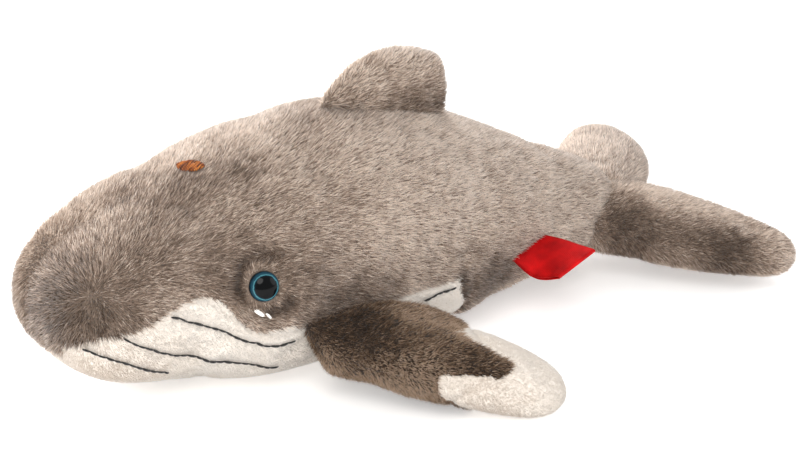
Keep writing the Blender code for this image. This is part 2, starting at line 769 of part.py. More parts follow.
def tufted_oval(name, matrix, length, width, thickness, finish):
    # A low rounded patch of satin stitches, longest along local X.
    bm = bmesh.new()
    bmesh.ops.create_uvsphere(bm, u_segments=OVAL_SEGMENTS, v_segments=OVAL_SEGMENTS // 2,
                              radius=1)
    bm.transform(Matrix.Diagonal((length / 2, width / 2, thickness / 2, 1)))
    obj = add_object(name, mesh_from(bm, name), finish)
    obj.data.shade_smooth()
    obj.matrix_world = matrix @ Matrix.Translation((0, 0, thickness / 2 + SEAT_GAP))
    return obj


def make_blowhole():
    # The oval lies across the centre seam, a little askew.
    point, normal, tailward, third = skin_frame(*BLOWHOLE_PLACE_SHARES, -1)
    slant = math.radians(BLOWHOLE_SLANT_DEG)
    direction = tailward * math.cos(slant) + third * math.sin(slant)
    matrix = frame_matrix(point, normal, direction, normal.cross(direction))
    tufted_oval("blowhole_embroidery", matrix, BLOWHOLE_LENGTH, BLOWHOLE_WIDTH,
                BLOWHOLE_THICKNESS, BROWN_THREAD)


def make_glints(side_name, side):
    # Two short white bars sewn under each eye.
    for number, place in enumerate(GLINT_PLACE_SHARES, 1):
        point, normal, tailward, third = skin_frame(*place, side)
        up = third if third.z > 0 else -third
        slant = math.radians(GLINT_SLANT_DEG)
        direction = tailward * math.cos(slant) + up * math.sin(slant)
        matrix = frame_matrix(point, normal, direction, normal.cross(direction))
        tufted_oval(f"{side_name}_eye_glint_{number}", matrix, GLINT_LENGTH,
                    2 * GLINT_RADIUS, 2 * GLINT_RADIUS, WHITE_THREAD)


def make_throat_line(side_name, side, number, route):
    # A thread lying on the white fabric, smoothed between the places of its route.
    curve = bpy.data.curves.new(f"{side_name}_throat_line_{number}", "CURVE")
    curve.dimensions = "3D"
    curve.bevel_depth = THREAD_RADIUS
    curve.bevel_resolution = 0
    curve.use_fill_caps = True
    points = []
    for (start_along, start_turn), (end_along, end_turn) in zip(route, route[1:]):
        for step in range(THREAD_POINTS_PER_SPAN):
            blend = step / THREAD_POINTS_PER_SPAN
            along = start_along + (end_along - start_along) * blend
            turn = start_turn + (end_turn - start_turn) * blend
            points.append((along, turn))
    points.append(route[-1])
    spline = curve.splines.new("POLY")
    spline.points.add(len(points) - 1)
    for target, (along, turn) in zip(spline.points, points):
        point, normal, _, _ = skin_frame(along, turn, side)
        lifted = point + normal * (THREAD_RADIUS + 2 * SEAT_GAP)
        target.co = (*lifted, 1)
    obj = bpy.data.objects.new(curve.name, curve)
    whale.objects.link(obj)
    curve.materials.append(make_material(curve.name, BLACK_THREAD))


# Label

def make_label():
    # A ribbon folded once: out from the side seam, which crosses it askew, round a loop and
    # back.
    side = -1
    point, _, tailward, _ = skin_frame(*LABEL_PLACE_SHARES, side)
    sweep = math.radians(LABEL_SWEEP_DEG)
    rise = math.radians(LABEL_RISE_DEG)
    outward = Vector((
        math.sin(sweep) * math.cos(rise), side * math.cos(sweep) * math.cos(rise), math.sin(rise),
    ))
    edge = (tailward - outward * tailward.dot(outward)).normalized()
    third = outward.cross(edge)
    straight = LABEL_LENGTH - LABEL_LOOP_RADIUS
    strip = [(0, LABEL_LOOP_RADIUS), (straight, LABEL_LOOP_RADIUS)]
    for step in range(1, LABEL_LOOP_STEPS):
        angle = math.pi * step / LABEL_LOOP_STEPS
        strip.append((straight + LABEL_LOOP_RADIUS * math.sin(angle),
                      LABEL_LOOP_RADIUS * math.cos(angle)))
    strip += [(straight, -LABEL_LOOP_RADIUS), (0, -LABEL_LOOP_RADIUS)]
    askew = tailward.dot(outward) / tailward.dot(edge)
    bm = bmesh.new()
    rows = []
    for out, height in strip:
        rows.append([])
        for width in (-LABEL_WIDTH / 2, LABEL_WIDTH / 2):
            rows[-1].append(bm.verts.new((out or width * askew, width, height)))
    for (a, b), (c, d) in zip(rows, rows[1:]):
        bm.faces.new((a, b, d, c))
    label = add_object("side_label", mesh_from(bm, "side_label"), RED_RIBBON)
    solidify = label.modifiers.new("ribbon", "SOLIDIFY")
    solidify.thickness = RIBBON_THICKNESS
    solidify.offset = 0
    clear = HINGE_GAP + LABEL_LOOP_RADIUS
    matrix = Matrix((outward, edge, third)).transposed().to_4x4()
    matrix.translation = point + outward * clear
    label.matrix_world = matrix
    hinge_axes[label] = edge + outward * askew


# Assembly

def centre_over_origin():
    # Moves the whale along X until its bounding box is centred, then lists the hinges.
    bpy.context.view_layer.update()
    reach = []
    for obj in whale.objects:
        if obj.type == "MESH":
            reach += [(obj.matrix_world @ vert.co).x for vert in evaluated_mesh(obj).vertices]
    shift = Matrix.Translation((-(min(reach) + max(reach)) / 2, 0, 0))
    for obj in [*whale.objects, *guides.objects]:
        if obj.parent is None:
            obj.matrix_world = shift @ obj.matrix_world
    bpy.context.view_layer.update()
    for pivot, axis in hinge_axes.items():
        place = [round(value, 5) for value in pivot.matrix_world.translation]
        print("hinge", pivot.name, place, [round(value, 4) for value in axis.normalized()])


clear_scene()
whale = new_collection("plush_whale")
guides = new_collection("guides")
hinge_axes = {}

body_form = make_body_form()
body_tree = tree_of(body_form)
body_cutter = add_guide("body_cutter", offset_mesh(body_form, "body_cutter", HINGE_GAP))
floor_bm = bmesh.new()
bmesh.ops.create_cube(floor_bm, size=1)
floor_bm.transform(Matrix.Diagonal((BODY_LENGTH * 2, BODY_LENGTH * 2, CUT_OVERRUN, 1)))
floor_bm.transform(Matrix.Translation((0, 0, -CUT_OVERRUN / 2)))
floor_cutter = add_guide("floor_cutter", mesh_from(floor_bm, "floor_cutter"))

panel_finishes = (GREY_FABRIC, GREY_FABRIC, WHITE_FABRIC, GREY_FABRIC)
panels = [
    fabric_panel(body_form, body_tree, index, name, panel_finishes[index])
    for index, name in enumerate(PANEL_NAMES)
]
cut(panels[THROAT], floor_cutter)
cut(panels[REAR_BELLY], floor_cutter)
body_stuffing = add_object(
    "body_stuffing",
    offset_mesh(body_form, "body_stuffing", -FABRIC_THICKNESS - STUFFING_GAP),
    STUFFING_FIBRE,
)

make_fin()
make_blowhole()
for side_name, side in SIDES:
    make_flipper(side_name, side)
    make_fluke(side_name, side)
    back_skin = panels[BACK_LEFT] if side < 0 else panels[BACK_RIGHT]
    make_eye(side_name, side, back_skin, body_stuffing)
    make_glints(side_name, side)
    for number, route in enumerate(THROAT_LINE_SHARES, 1):
        make_throat_line(side_name, side, number, route)
make_label()
centre_over_origin()
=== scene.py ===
import json
import math

import bmesh
import bpy
import numpy as np
from mathutils import Matrix, Vector, noise
from mathutils.bvhtree import BVHTree


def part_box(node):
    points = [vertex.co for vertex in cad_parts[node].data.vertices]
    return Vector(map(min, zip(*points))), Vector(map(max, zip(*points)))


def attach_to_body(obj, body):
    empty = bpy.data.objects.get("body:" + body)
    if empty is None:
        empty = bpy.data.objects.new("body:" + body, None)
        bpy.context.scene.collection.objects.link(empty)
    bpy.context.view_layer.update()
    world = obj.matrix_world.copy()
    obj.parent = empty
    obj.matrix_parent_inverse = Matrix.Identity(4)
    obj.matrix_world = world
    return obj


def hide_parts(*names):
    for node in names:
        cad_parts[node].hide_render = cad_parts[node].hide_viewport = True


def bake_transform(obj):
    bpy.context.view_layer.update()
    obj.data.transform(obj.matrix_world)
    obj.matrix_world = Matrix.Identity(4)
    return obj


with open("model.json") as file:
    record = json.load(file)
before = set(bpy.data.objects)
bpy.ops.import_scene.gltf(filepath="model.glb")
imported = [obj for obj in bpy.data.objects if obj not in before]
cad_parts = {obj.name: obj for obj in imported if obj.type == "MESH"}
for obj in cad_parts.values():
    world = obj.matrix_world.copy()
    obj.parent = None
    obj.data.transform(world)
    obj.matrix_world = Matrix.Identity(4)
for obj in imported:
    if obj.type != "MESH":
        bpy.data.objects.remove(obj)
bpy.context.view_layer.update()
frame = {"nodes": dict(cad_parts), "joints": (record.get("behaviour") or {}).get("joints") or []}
mm = 0.001
nodeMeshes = {name: obj.data for name, obj in frame["nodes"].items()}
jointPlaces = {joint["child"]: joint for joint in frame["joints"]}
scene = bpy.context.scene
noise.seed_set(5)  # without it noise vectors follow the clock, and the nap lies otherwise each run
print("whale: frame loaded,", len(nodeMeshes), "solids")


# Camera, light and floor

studio = {
    "azimuth": -30,
    "elevation": 25,
    "distance": 1.0406,
    "target": (0.0041, 0, 0.034),
    "lens": 112.5,
    "keyPower": 7.5,
    "fillPower": 3.5,
    "rimPower": 11.0,
    "headRimPower": 16.0,
    "worldStrength": 0.74,
    "floorGlow": 0.36,
    "floorColour": (0.985, 0.985, 0.985),
}


def lookAt(obj, place, target):
    obj.location = place
    obj.rotation_euler = (Vector(target) - Vector(place)).to_track_quat("-Z", "Y").to_euler()


def makeCamera():
    data = bpy.data.cameras.new("photoCamera")
    data.lens = studio["lens"]
    data.sensor_width = 36
    camera = bpy.data.objects.new("photoCamera", data)
    scene.collection.objects.link(camera)
    a, e = math.radians(studio["azimuth"]), math.radians(studio["elevation"])
    back = Vector((math.sin(a) * math.cos(e), -math.cos(a) * math.cos(e), math.sin(e)))
    target = Vector(studio["target"])
    lookAt(camera, target + back * studio["distance"], target)
    scene.camera = camera


def addAreaLight(name, place, size, power, colour=(1, 1, 1)):
    data = bpy.data.lights.new(name, "AREA")
    data.shape = "DISK"
    data.size = size
    data.energy = power
    data.color = colour
    light = bpy.data.objects.new(name, data)
    scene.collection.objects.link(light)
    lookAt(light, place, studio["target"])


def makeStudio():
    addAreaLight("softKey", (-0.55, -0.75, 0.95), 0.8, studio["keyPower"], (1, 0.985, 0.96))
    addAreaLight("fill", (0.9, -0.7, 0.5), 0.9, studio["fillPower"], (0.96, 0.98, 1))
    addAreaLight("rim", (0.1, 0.9, 0.8), 0.7, studio["rimPower"])
    addAreaLight("headRim", (-0.7, 1.0, 0.5), 0.6, studio["headRimPower"])
    world = bpy.data.worlds.new("studioWorld")
    world.use_nodes = True
    background = world.node_tree.nodes["Background"]
    background.inputs["Color"].default_value = (1, 1, 1, 1)
    background.inputs["Strength"].default_value = studio["worldStrength"]
    scene.world = world
    scene.view_settings.view_transform = "Standard"
    bpy.ops.mesh.primitive_plane_add(size=12)
    floor = bpy.context.object
    floor.name = "paleFloor"
    floor.data.materials.append(startMaterial("paleFloorPaint", {
        "Base Color": (*studio["floorColour"], 1), "Roughness": 0.9, "Specular IOR Level": 0.1,
        "Emission Color": (1, 1, 1, 1), "Emission Strength": studio["floorGlow"]})[0])


# Materials

def srgb(red, green, blue):
    # A colour as seen on screen, 0 to 255, in linear light.
    out = []
    for value in (red, green, blue):
        share = value / 255
        out.append(share / 12.92 if share < 0.04045 else ((share + 0.055) / 1.055) ** 2.4)
    return tuple(out)


def startMaterial(name, sockets):
    # A plain material with its constants on the shader's own sockets.
    material = bpy.data.materials.new(name)
    material.use_nodes = True
    shader = material.node_tree.nodes["Principled BSDF"]
    for socket, value in sockets.items():
        shader.inputs[socket].default_value = value
    return material, material.node_tree, shader


def addNode(tree, kind, inputs=(), **settings):
    node = tree.nodes.new("ShaderNode" + kind)
    for key, value in settings.items():
        setattr(node, key, value)
    for socket, value in inputs:
        node.inputs[socket].default_value = value
    return node


def addRamp(tree, stops):
    # A colour ramp from its positions and colours.
    ramp = addNode(tree, "ValToRGB")
    while len(ramp.color_ramp.elements) < len(stops):
        ramp.color_ramp.elements.new(0.5)
    for element, (position, colour) in zip(ramp.color_ramp.elements, stops):
        element.position = position
        element.color = (*colour, 1)
    return ramp


def linkAll(tree, *pairs):
    for source, target in pairs:
        tree.links.new(source, target)


def plainFibre(name, colour, sheen):
    # One tone of pile fibre. Many tones together make the fur, so each stays constant.
    return startMaterial(name, {"Base Color": (*colour, 1), "Roughness": 0.75,
                                "Specular IOR Level": 0.25, "Sheen Weight": sheen,
                                "Sheen Roughness": 0.4})[0]


def plushBacking(name, dark, light, grainSize, bumpHeight, roughness=0.92):
    # Knitted backing with cut pile roots: blotches, fine grain and a bump.
    material, tree, shader = startMaterial(name, {"Roughness": roughness, "Sheen Weight": 0.3,
                                                  "Specular IOR Level": 0.15})
    place = addNode(tree, "TexCoord").outputs["Object"]
    blotch = addNode(tree, "TexNoise", [("Scale", 45), ("Detail", 3)])
    grain = addNode(tree, "TexNoise", [("Scale", 1 / grainSize), ("Detail", 2)])
    mix = addNode(tree, "Math", [(1, 0.55)], operation="MULTIPLY_ADD")
    half = addNode(tree, "Math", [(1, 0.45)], operation="MULTIPLY")
    ramp = addRamp(tree, [(0.35, dark), (0.75, light)])
    bump = addNode(tree, "Bump", [("Distance", bumpHeight), ("Strength", 0.8)])
    linkAll(tree, (place, blotch.inputs["Vector"]), (place, grain.inputs["Vector"]),
            (blotch.outputs["Fac"], half.inputs[0]), (grain.outputs["Fac"], mix.inputs[0]),
            (half.outputs[0], mix.inputs[2]), (mix.outputs[0], ramp.inputs["Fac"]),
            (ramp.outputs["Color"], shader.inputs["Base Color"]),
            (grain.outputs["Fac"], bump.inputs["Height"]),
            (bump.outputs["Normal"], shader.inputs["Normal"]))
    return material


makeCamera()
makeStudio()
print("whale: studio ready")

backingFinishes = {
    "grey": plushBacking("greyPlushBacking", srgb(104, 89, 77), srgb(150, 132, 118), 0.0007, 0.0006),
    "dark": plushBacking("darkPlushBacking", srgb(34, 26, 20), srgb(66, 53, 43), 0.0007, 0.0006),
    "white": plushBacking("whitePlushBacking", srgb(226, 214, 202), srgb(250, 244, 236), 0.0006,
                          0.0003),
    "fibre": plushBacking("stuffingFibre", srgb(225, 225, 222), srgb(250, 250, 248), 0.002, 0.001),
}


# Stuffed forms: closed, voxel remeshed, smoothed and blown up as cloth

softForm = {
    "bodyVoxel": 3.0 * mm,
    "limbVoxel": 2.2 * mm,
    "fillerGrowth": {"body": 1.4 * mm, "flipper": 3.0 * mm, "fluke": 2.0 * mm, "fin": 2.4 * mm},
    "smoothingRounds": 14,
    "pressure": 3.5,
    "extraCloth": 0.015,
    "moveCap": {"body": 1.2 * mm, "flipper": 1.8 * mm, "fluke": 1.8 * mm, "fin": 1.5 * mm},
    # Where each limb's section is taken, from and to along it, and how far it runs inward.
    "rootRun": {"flipper": (5 * mm, 14 * mm, 16 * mm), "fluke": (4 * mm, 12 * mm, 14 * mm),
                "fin": (3 * mm, 8 * mm, 7 * mm)},
    # Where the left flipper's front edge runs on up the body.
    "rootCorner": [(-0.0700, -0.0525, 0.0345), (-0.0690, -0.0550, 0.0300),
                   (-0.0665, -0.0560, 0.0240), (-0.0600, -0.0420, 0.0300)],
    "heldRoot": 4 * mm,
    "eyePlug": {"below": 5.6 * mm, "radius": 9.5 * mm, "halfThickness": 2.2 * mm},
    "frames": 20,
    "seamWidth": 1.6 * mm,
    "seamDepth": {"body": 0.9 * mm, "flipper": 0.6 * mm, "fluke": 0, "fin": 0},
    "clothThickness": 1.2 * mm,
    "overFloor": 0.4 * mm,
    "fillingInset": {"body": 3.6 * mm, "limb": 1.6 * mm},
}


def meshArrays(mesh):
    points = np.zeros(len(mesh.vertices) * 3)
    mesh.vertices.foreach_get("co", points)
    return points.reshape(-1, 3)


def treeOf(mesh):
    return BVHTree.FromPolygons([v.co for v in mesh.vertices], [p.vertices for p in mesh.polygons])


def nodeCentre(name):
    low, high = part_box(name)
    return (low + high) / 2


def limbHeading(body):
    # From the root out towards the tip, level with the floor for flippers and flukes.
    start = Vector(jointPlaces[body]["pos_m"])
    heading = nodeCentre(body + "_stuffing") - start
    if body != "back_fin":
        heading.z = 0
    return heading.normalized()


def washerAxis(side):
    # The washer lies square to the eye's post, so its flat direction is the outward axis.
    points = meshArrays(nodeMeshes[side + "_eye_washer"])
    centre = points.mean(axis=0)
    axis = Vector(np.linalg.svd(points - centre)[2][2]).normalized()
    if axis.y * centre[1] < 0:
        axis.negate()
    return Vector(centre), axis


def eyeTop(side):
    # The highest point of the eye's dome, on its axis.
    centre, axis = washerAxis(side)
    top = (meshArrays(nodeMeshes[side + "_eye"]) @ np.array(axis)).max()
    return centre + axis * (top - centre.dot(axis)), axis


def eyePlug(side):
    # A flat pad that closes the hole of the eye's post under the cloth.
    top, axis = eyeTop(side)
    size = softForm["eyePlug"]
    place = Matrix.Translation(top - axis * size["below"])
    turn = axis.to_track_quat("Z", "Y").to_matrix().to_4x4()
    shape = Matrix.Diagonal((size["radius"], size["radius"], size["halfThickness"], 1))
    bm = bmesh.new()
    bmesh.ops.create_icosphere(bm, subdivisions=4, radius=1, matrix=place @ turn @ shape)
    return meshOf(bm, "eyePlug")


def rootRun(body, panels):
    # The limb's section near its root, carried on into the body.
    first, last, inward = softForm["rootRun"][body.split("_")[-1]]
    heading = np.array(limbHeading(body))
    points = np.concatenate([meshArrays(nodeMeshes[name]) for name in panels])
    along = (points - np.array(jointPlaces[body]["pos_m"])) @ heading
    section = points[(along > first) & (along < last)]
    cloud = [section, section - heading * inward]
    if "flipper" in body:
        mirror = np.array([1, 1 if body.startswith("left") else -1, 1])
        cloud.append(np.array(softForm["rootCorner"]) * mirror)
    bm = bmesh.new()
    for point in np.concatenate(cloud):
        bm.verts.new(point)
    made = bmesh.ops.convex_hull(bm, input=bm.verts)
    spare = {item for item in made["geom_interior"] + made["geom_unused"]
             if isinstance(item, bmesh.types.BMVert)}
    bmesh.ops.delete(bm, geom=list(spare), context="VERTS")
    return meshOf(bm, "rootRun")


def meshOf(bm, name):
    mesh = bpy.data.meshes.new(name)
    bm.to_mesh(mesh)
    bm.free()
    return mesh


def joinSolids(names, fillerName, growth, extras):
    # The skins with the stuffing grown out to meet them, as one mesh of overlapping solids.
    bm = bmesh.new()
    for name in names:
        bm.from_mesh(nodeMeshes[name])
    for extra in extras:
        bm.from_mesh(extra)
    filler = bmesh.new()
    filler.from_mesh(nodeMeshes[fillerName])
    bmesh.ops.remove_doubles(filler, verts=filler.verts, dist=0.00001)
    filler.normal_update()
    moves = [(vert, vert.co + vert.normal * growth) for vert in filler.verts]
    for vert, place in moves:
        vert.co = place
    grown = bpy.data.meshes.new("grownFiller")
    filler.to_mesh(grown)
    filler.free()
    bm.from_mesh(grown)
    joined = bpy.data.meshes.new("joinedSolids")
    bm.to_mesh(joined)
    bm.free()
    return joined


def evaluated(obj):
    graph = bpy.context.evaluated_depsgraph_get()
    return bpy.data.meshes.new_from_object(obj.evaluated_get(graph))


def withModifier(mesh, kind, **settings):
    # The mesh after one modifier, as a new mesh.
    obj = bpy.data.objects.new("work", mesh)
    scene.collection.objects.link(obj)
    modifier = obj.modifiers.new("work", kind)
    for key, value in settings.items():
        setattr(modifier, key, value)
    result = evaluated(obj)
    bpy.data.objects.remove(obj)
    return result


def largestShell(mesh):
    # Drops every closed bit but the outer skin.
    bm = bmesh.new()
    bm.from_mesh(mesh)
    left = set(bm.verts)
    shells = []
    while left:
        seed = left.pop()
        shell, edge = {seed}, [seed]
        while edge:
            vert = edge.pop()
            for link in vert.link_edges:
                other = link.other_vert(vert)
                if other in left:
                    left.discard(other)
                    shell.add(other)
                    edge.append(other)
        shells.append(shell)
    keep = max(shells, key=len)
    bmesh.ops.delete(bm, geom=[v for v in bm.verts if v not in keep], context="VERTS")
    bm.to_mesh(mesh)
    bm.free()
    return mesh


def smoothed(mesh, rounds):
    # Smooths without shrinking: each round pulls in, then pushes back out.
    points = meshArrays(mesh)
    edges = np.zeros(len(mesh.edges) * 2, dtype=int)
    mesh.edges.foreach_get("vertices", edges)
    edges = edges.reshape(-1, 2)
    both = np.concatenate([edges, edges[:, ::-1]])
    degree = np.bincount(both[:, 0], minlength=len(points))[:, None]
    for step in range(rounds):
        for pull in (0.5, -0.51):
            total = np.zeros_like(points)
            np.add.at(total, both[:, 0], points[both[:, 1]])
            points += pull * (total / degree - points)
    mesh.vertices.foreach_set("co", points.ravel())
    mesh.update()
    return mesh


def panelDistances(points, panelTrees):
    # Distance of each point from each panel's solid.
    out = np.zeros((len(points), len(panelTrees)))
    for k, tree in enumerate(panelTrees):
        for i, point in enumerate(points):
            out[i, k] = tree.find_nearest(point)[3]
    return out


def seamDistance(distances):
    # Distance of each point from the nearest seam, from its two nearest panels. The seam
    # between the first two panels is lost in the pile, and counts as far away.
    order = np.argsort(distances, axis=1)[:, :2]
    near = np.take_along_axis(distances, order, axis=1)
    out = np.sqrt(np.maximum(near[:, 1] ** 2 - near[:, 0] ** 2, 0))
    out[order.max(axis=1) < 2] = 1.0
    return out


def blowUp(mesh, held, pressure, moveCap):
    # Cloth held at its seams and root, blown up a little by the stuffing.
    obj = bpy.data.objects.new("stuffedCloth", mesh)
    scene.collection.objects.link(obj)
    start = meshArrays(mesh)
    pins = obj.vertex_groups.new(name="seams")
    for index in np.nonzero(held)[0]:
        pins.add([int(index)], 1.0, "REPLACE")
    cloth = obj.modifiers.new("stuffing", "CLOTH")
    cloth.settings.quality = 5
    cloth.settings.mass = 0.2
    cloth.settings.vertex_group_mass = "seams"
    cloth.settings.use_pressure = True
    cloth.settings.uniform_pressure_force = pressure
    cloth.settings.shrink_min = -softForm["extraCloth"]
    cloth.settings.tension_stiffness = 12
    cloth.settings.compression_stiffness = 12
    cloth.settings.bending_stiffness = 0.6
    cloth.settings.effector_weights.gravity = 0
    cloth.collision_settings.use_self_collision = False
    cloth.collision_settings.use_collision = False
    cloth.point_cache.frame_start = 1
    cloth.point_cache.frame_end = softForm["frames"]
    for number in range(1, softForm["frames"] + 1):
        scene.frame_set(number)
    result = evaluated(obj)
    moved = meshArrays(result) - start
    size = np.linalg.norm(moved, axis=1, keepdims=True)
    moved *= np.minimum(1, moveCap / np.maximum(size, 1e-9))
    result.vertices.foreach_set("co", (start + moved).ravel())
    result.update()
    bpy.data.objects.remove(obj)
    scene.frame_set(1)
    return result


def stuffedForm(body, panels):
    # Returns the finished surface with its panel numbers and seam distances.
    kind = body.split("_")[-1]
    extras = [eyePlug(side) for side in sides] if body == "body" else [rootRun(body, panels)]
    joined = joinSolids(panels, body + "_stuffing", softForm["fillerGrowth"][kind], extras)
    voxel = softForm["bodyVoxel" if body == "body" else "limbVoxel"]
    mesh = withModifier(joined, "REMESH", mode="VOXEL", voxel_size=voxel, use_smooth_shade=True)
    mesh = smoothed(largestShell(mesh), softForm["smoothingRounds"])
    trees = [treeOf(nodeMeshes[name]) for name in panels]
    points = meshArrays(mesh)
    held = seamDistance(panelDistances(points, trees)) < softForm["seamWidth"] * 1.2
    if body != "body":
        root = np.array(jointPlaces[body]["pos_m"])
        held |= (points - root) @ np.array(limbHeading(body)) < softForm["heldRoot"]
    mesh = blowUp(mesh, held, softForm["pressure"], softForm["moveCap"][kind])
    mesh = withModifier(mesh, "SUBSURF", levels=1, render_levels=1)
    seams = seamDistance(panelDistances(meshArrays(mesh), trees))
    print("whale:", body, "form has", len(mesh.vertices), "points")
    return {"mesh": mesh, "trees": trees, "panels": panels, "seam": seams}


sides = ("left", "right")
forms = {"body": stuffedForm("body", ["back_skin_left", "back_skin_right", "throat_skin",
                                      "rear_belly_skin"])}
for side in sides:
    for limb, parts in (("flipper", ("upper", "lower", "tip")), ("fluke", ("upper", "lower"))):
        body = f"{side}_{limb}"
        forms[body] = stuffedForm(body, [f"{body}_{part}_skin" for part in parts])
forms["back_fin"] = stuffedForm("back_fin", ["back_fin_left_skin", "back_fin_right_skin"])


# Shaping: seams, eye sockets, creases, limb roots

eyeCentres = {side: eyeTop(side)[0] - eyeTop(side)[1] * 4 * mm for side in sides}

# The folds of the cloth round the left eye.
eyeFolds = {
    "above": [(-0.0947, -0.0478, 0.0522), (-0.0932, -0.0469, 0.0569), (-0.0913, -0.0456, 0.0612),
              (-0.0869, -0.0453, 0.0628), (-0.0820, -0.0462, 0.0628), (-0.0784, -0.0475, 0.0617)],
    "lid": [(-0.0913, -0.0481, 0.0545), (-0.0891, -0.0473, 0.0591), (-0.0847, -0.0472, 0.0605),
            (-0.0803, -0.0485, 0.0596)],
    "below": [(-0.0840, -0.0520, 0.0420), (-0.0790, -0.0529, 0.0428), (-0.0762, -0.0531, 0.0448)],
}

bodyShaping = {
    "eyeSocketRadius": 11 * mm,
    "eyeSocketDepth": 0.8 * mm,
    # Creases as routes of points on the left side, with their width and depth.
    "creases": [
        ([(-0.052, -0.020, 0.093), (-0.047, -0.040, 0.070), (-0.050, -0.052, 0.045)],
         9 * mm, 1.4 * mm),
        (eyeFolds["above"], 3.0 * mm, 2.2 * mm), (eyeFolds["below"], 3.0 * mm, 2.0 * mm),
        (eyeFolds["lid"], 2.4 * mm, -0.9 * mm),
        ([(0.000, -0.014, 0.090), (0.020, -0.030, 0.074), (0.028, -0.040, 0.055)],
         6 * mm, 1.0 * mm),
        ([(-0.105, -0.018, 0.078), (-0.092, -0.030, 0.072), (-0.070, -0.034, 0.078)],
         7 * mm, 0.4 * mm),
    ],
}


def distanceToRoute(points, route):
    # Distance of each point from a route of straight stretches.
    best = np.full(len(points), 1e9)
    for start, end in zip(route, route[1:]):
        a, b = np.array(start), np.array(end)
        d = b - a
        t = np.clip(((points - a) @ d) / (d @ d), 0, 1)
        best = np.minimum(best, np.linalg.norm(points - (a + t[:, None] * d), axis=1))
    return best


def onLeft(points):
    # The same points with those of the right side mirrored to the left.
    return np.stack([points[:, 0], -np.abs(points[:, 1]), points[:, 2]], axis=1)


def vertexNormals(mesh):
    out = np.zeros(len(mesh.vertices) * 3)
    mesh.vertices.foreach_get("normal", out)
    return out.reshape(-1, 3)


def noiseRows(points, size, offset):
    shift = Vector((offset, offset * 0.7, -offset))
    return np.array([noise.noise_vector(Vector(point) / size + shift) for point in points])


def noiseValues(points, size, offset):
    shift = Vector((offset, -offset, offset * 0.3))
    return np.array([noise.noise(Vector(point) / size + shift) for point in points])


def setPoints(mesh, points):
    mesh.vertices.foreach_set("co", points.ravel())
    mesh.update()


def shapeSeams(form, body):
    mesh = form["mesh"]
    points, normals = meshArrays(mesh), vertexNormals(mesh)
    depth = softForm["seamDepth"][body.split("_")[-1]]
    groove = np.exp(-(form["seam"] / softForm["seamWidth"]) ** 2) * depth
    setPoints(mesh, points - normals * groove[:, None])


def shapeBody(form):
    mesh = form["mesh"]
    points, normals = meshArrays(mesh), vertexNormals(mesh)
    sunk = np.zeros(len(points))
    for side in sides:
        away = np.linalg.norm(points - np.array(eyeCentres[side]), axis=1)
        sunk += bodyShaping["eyeSocketDepth"] * np.exp(-(away / bodyShaping["eyeSocketRadius"]) ** 4)
        mirror = np.array([1, 1 if side == "left" else -1, 1])
        for route, width, depth in bodyShaping["creases"]:
            away = distanceToRoute(points, [tuple(np.array(place) * mirror) for place in route])
            sunk += depth * np.exp(-(away / width) ** 2)
    points = points - normals * sunk[:, None]
    points[:, 2] = np.maximum(points[:, 2], softForm["overFloor"])
    setPoints(mesh, points)


limbShaping = {
    # Swells and dents: centre, reach, height.
    "left_fluke": [((0.1510, -0.0665, 0.0165), 12 * mm, 1.3 * mm),
                   ((0.1450, -0.0540, 0.0270), 6 * mm, -1.8 * mm)],
    "flipper": [((-0.030, -0.066, 0.034), 14 * mm, -2.6 * mm),
                ((-0.018, -0.075, 0.031), 9 * mm, -0.9 * mm)],
    # How far the root leans along the chord, and over what length.
    "lean": {"right_fluke": ((0.777, -0.629, 0), 2.5 * mm, 60 * mm)},
}


def shapeLimb(form, body):
    mesh = form["mesh"]
    points, normals = meshArrays(mesh), vertexNormals(mesh)
    kind = body.split("_")[-1]
    for centre, reach, height in limbShaping.get(body, limbShaping.get(kind, [])):
        away = np.linalg.norm(onLeft(points) - np.array(centre), axis=1)
        points = points + normals * (height * np.exp(-(away / reach) ** 2))[:, None]
    if body in limbShaping["lean"]:
        direction, shift, length = limbShaping["lean"][body]
        along = (points - np.array(jointPlaces[body]["pos_m"])) @ np.array(limbHeading(body))
        points = points + np.array(direction) * (shift * np.clip(1 - along / length, 0, 1))[:, None]
    points[:, 2] = np.maximum(points[:, 2], softForm["overFloor"])
    setPoints(mesh, points)


# The outline of the dark upper cloth on the left flipper seen from above, in millimetres, with
# its rounded tongue that runs out into the white end.
darkOutline = [(-18.5, -82.5), (-16.3, -88.9), (-13.8, -94.4), (-11.8, -98.6), (-10.0, -102.2),
               (-8.2, -105.2), (-7.6, -107.0), (-9.0, -108.6), (-11.1, -109.4), (-15.2, -109.2),
               (-21.5, -105.0), (-29.6, -99.0), (-33.3, -96.0), (-36, -95.3), (-60, -94.5),
               (-90, -90), (-90, -40), (0, -40), (-10, -75)]
# Where the pile moves the seen edge between two of the body's panels: the panel that grows or
# shrinks, centre, reach and how far.
edgeShifts = [(2, (-0.124, -0.0415, 0.047), 14 * mm, -1.8 * mm),
              (2, (-0.102, -0.0465, 0.0475), 8 * mm, 3.4 * mm),
              (2, (-0.078, -0.053, 0.033), 9 * mm, 4.0 * mm),
              (2, (-0.150, -0.030, 0.035), 12 * mm, 1.5 * mm),
              (3, (0.010, -0.0455, 0.031), 10 * mm, 7.0 * mm)]


def insideOutline(points, outline):
    # True for each point inside the outline, by counting crossings.
    inside = np.zeros(len(points), dtype=bool)
    for (x1, y1), (x2, y2) in zip(outline, outline[1:] + outline[:1]):
        crosses = (y1 > points[:, 1]) != (y2 > points[:, 1])
        at = x1 + (points[:, 1] - y1) * (x2 - x1) / (y2 - y1 if y2 != y1 else 1)
        inside ^= crosses & (points[:, 0] < at)
    return inside


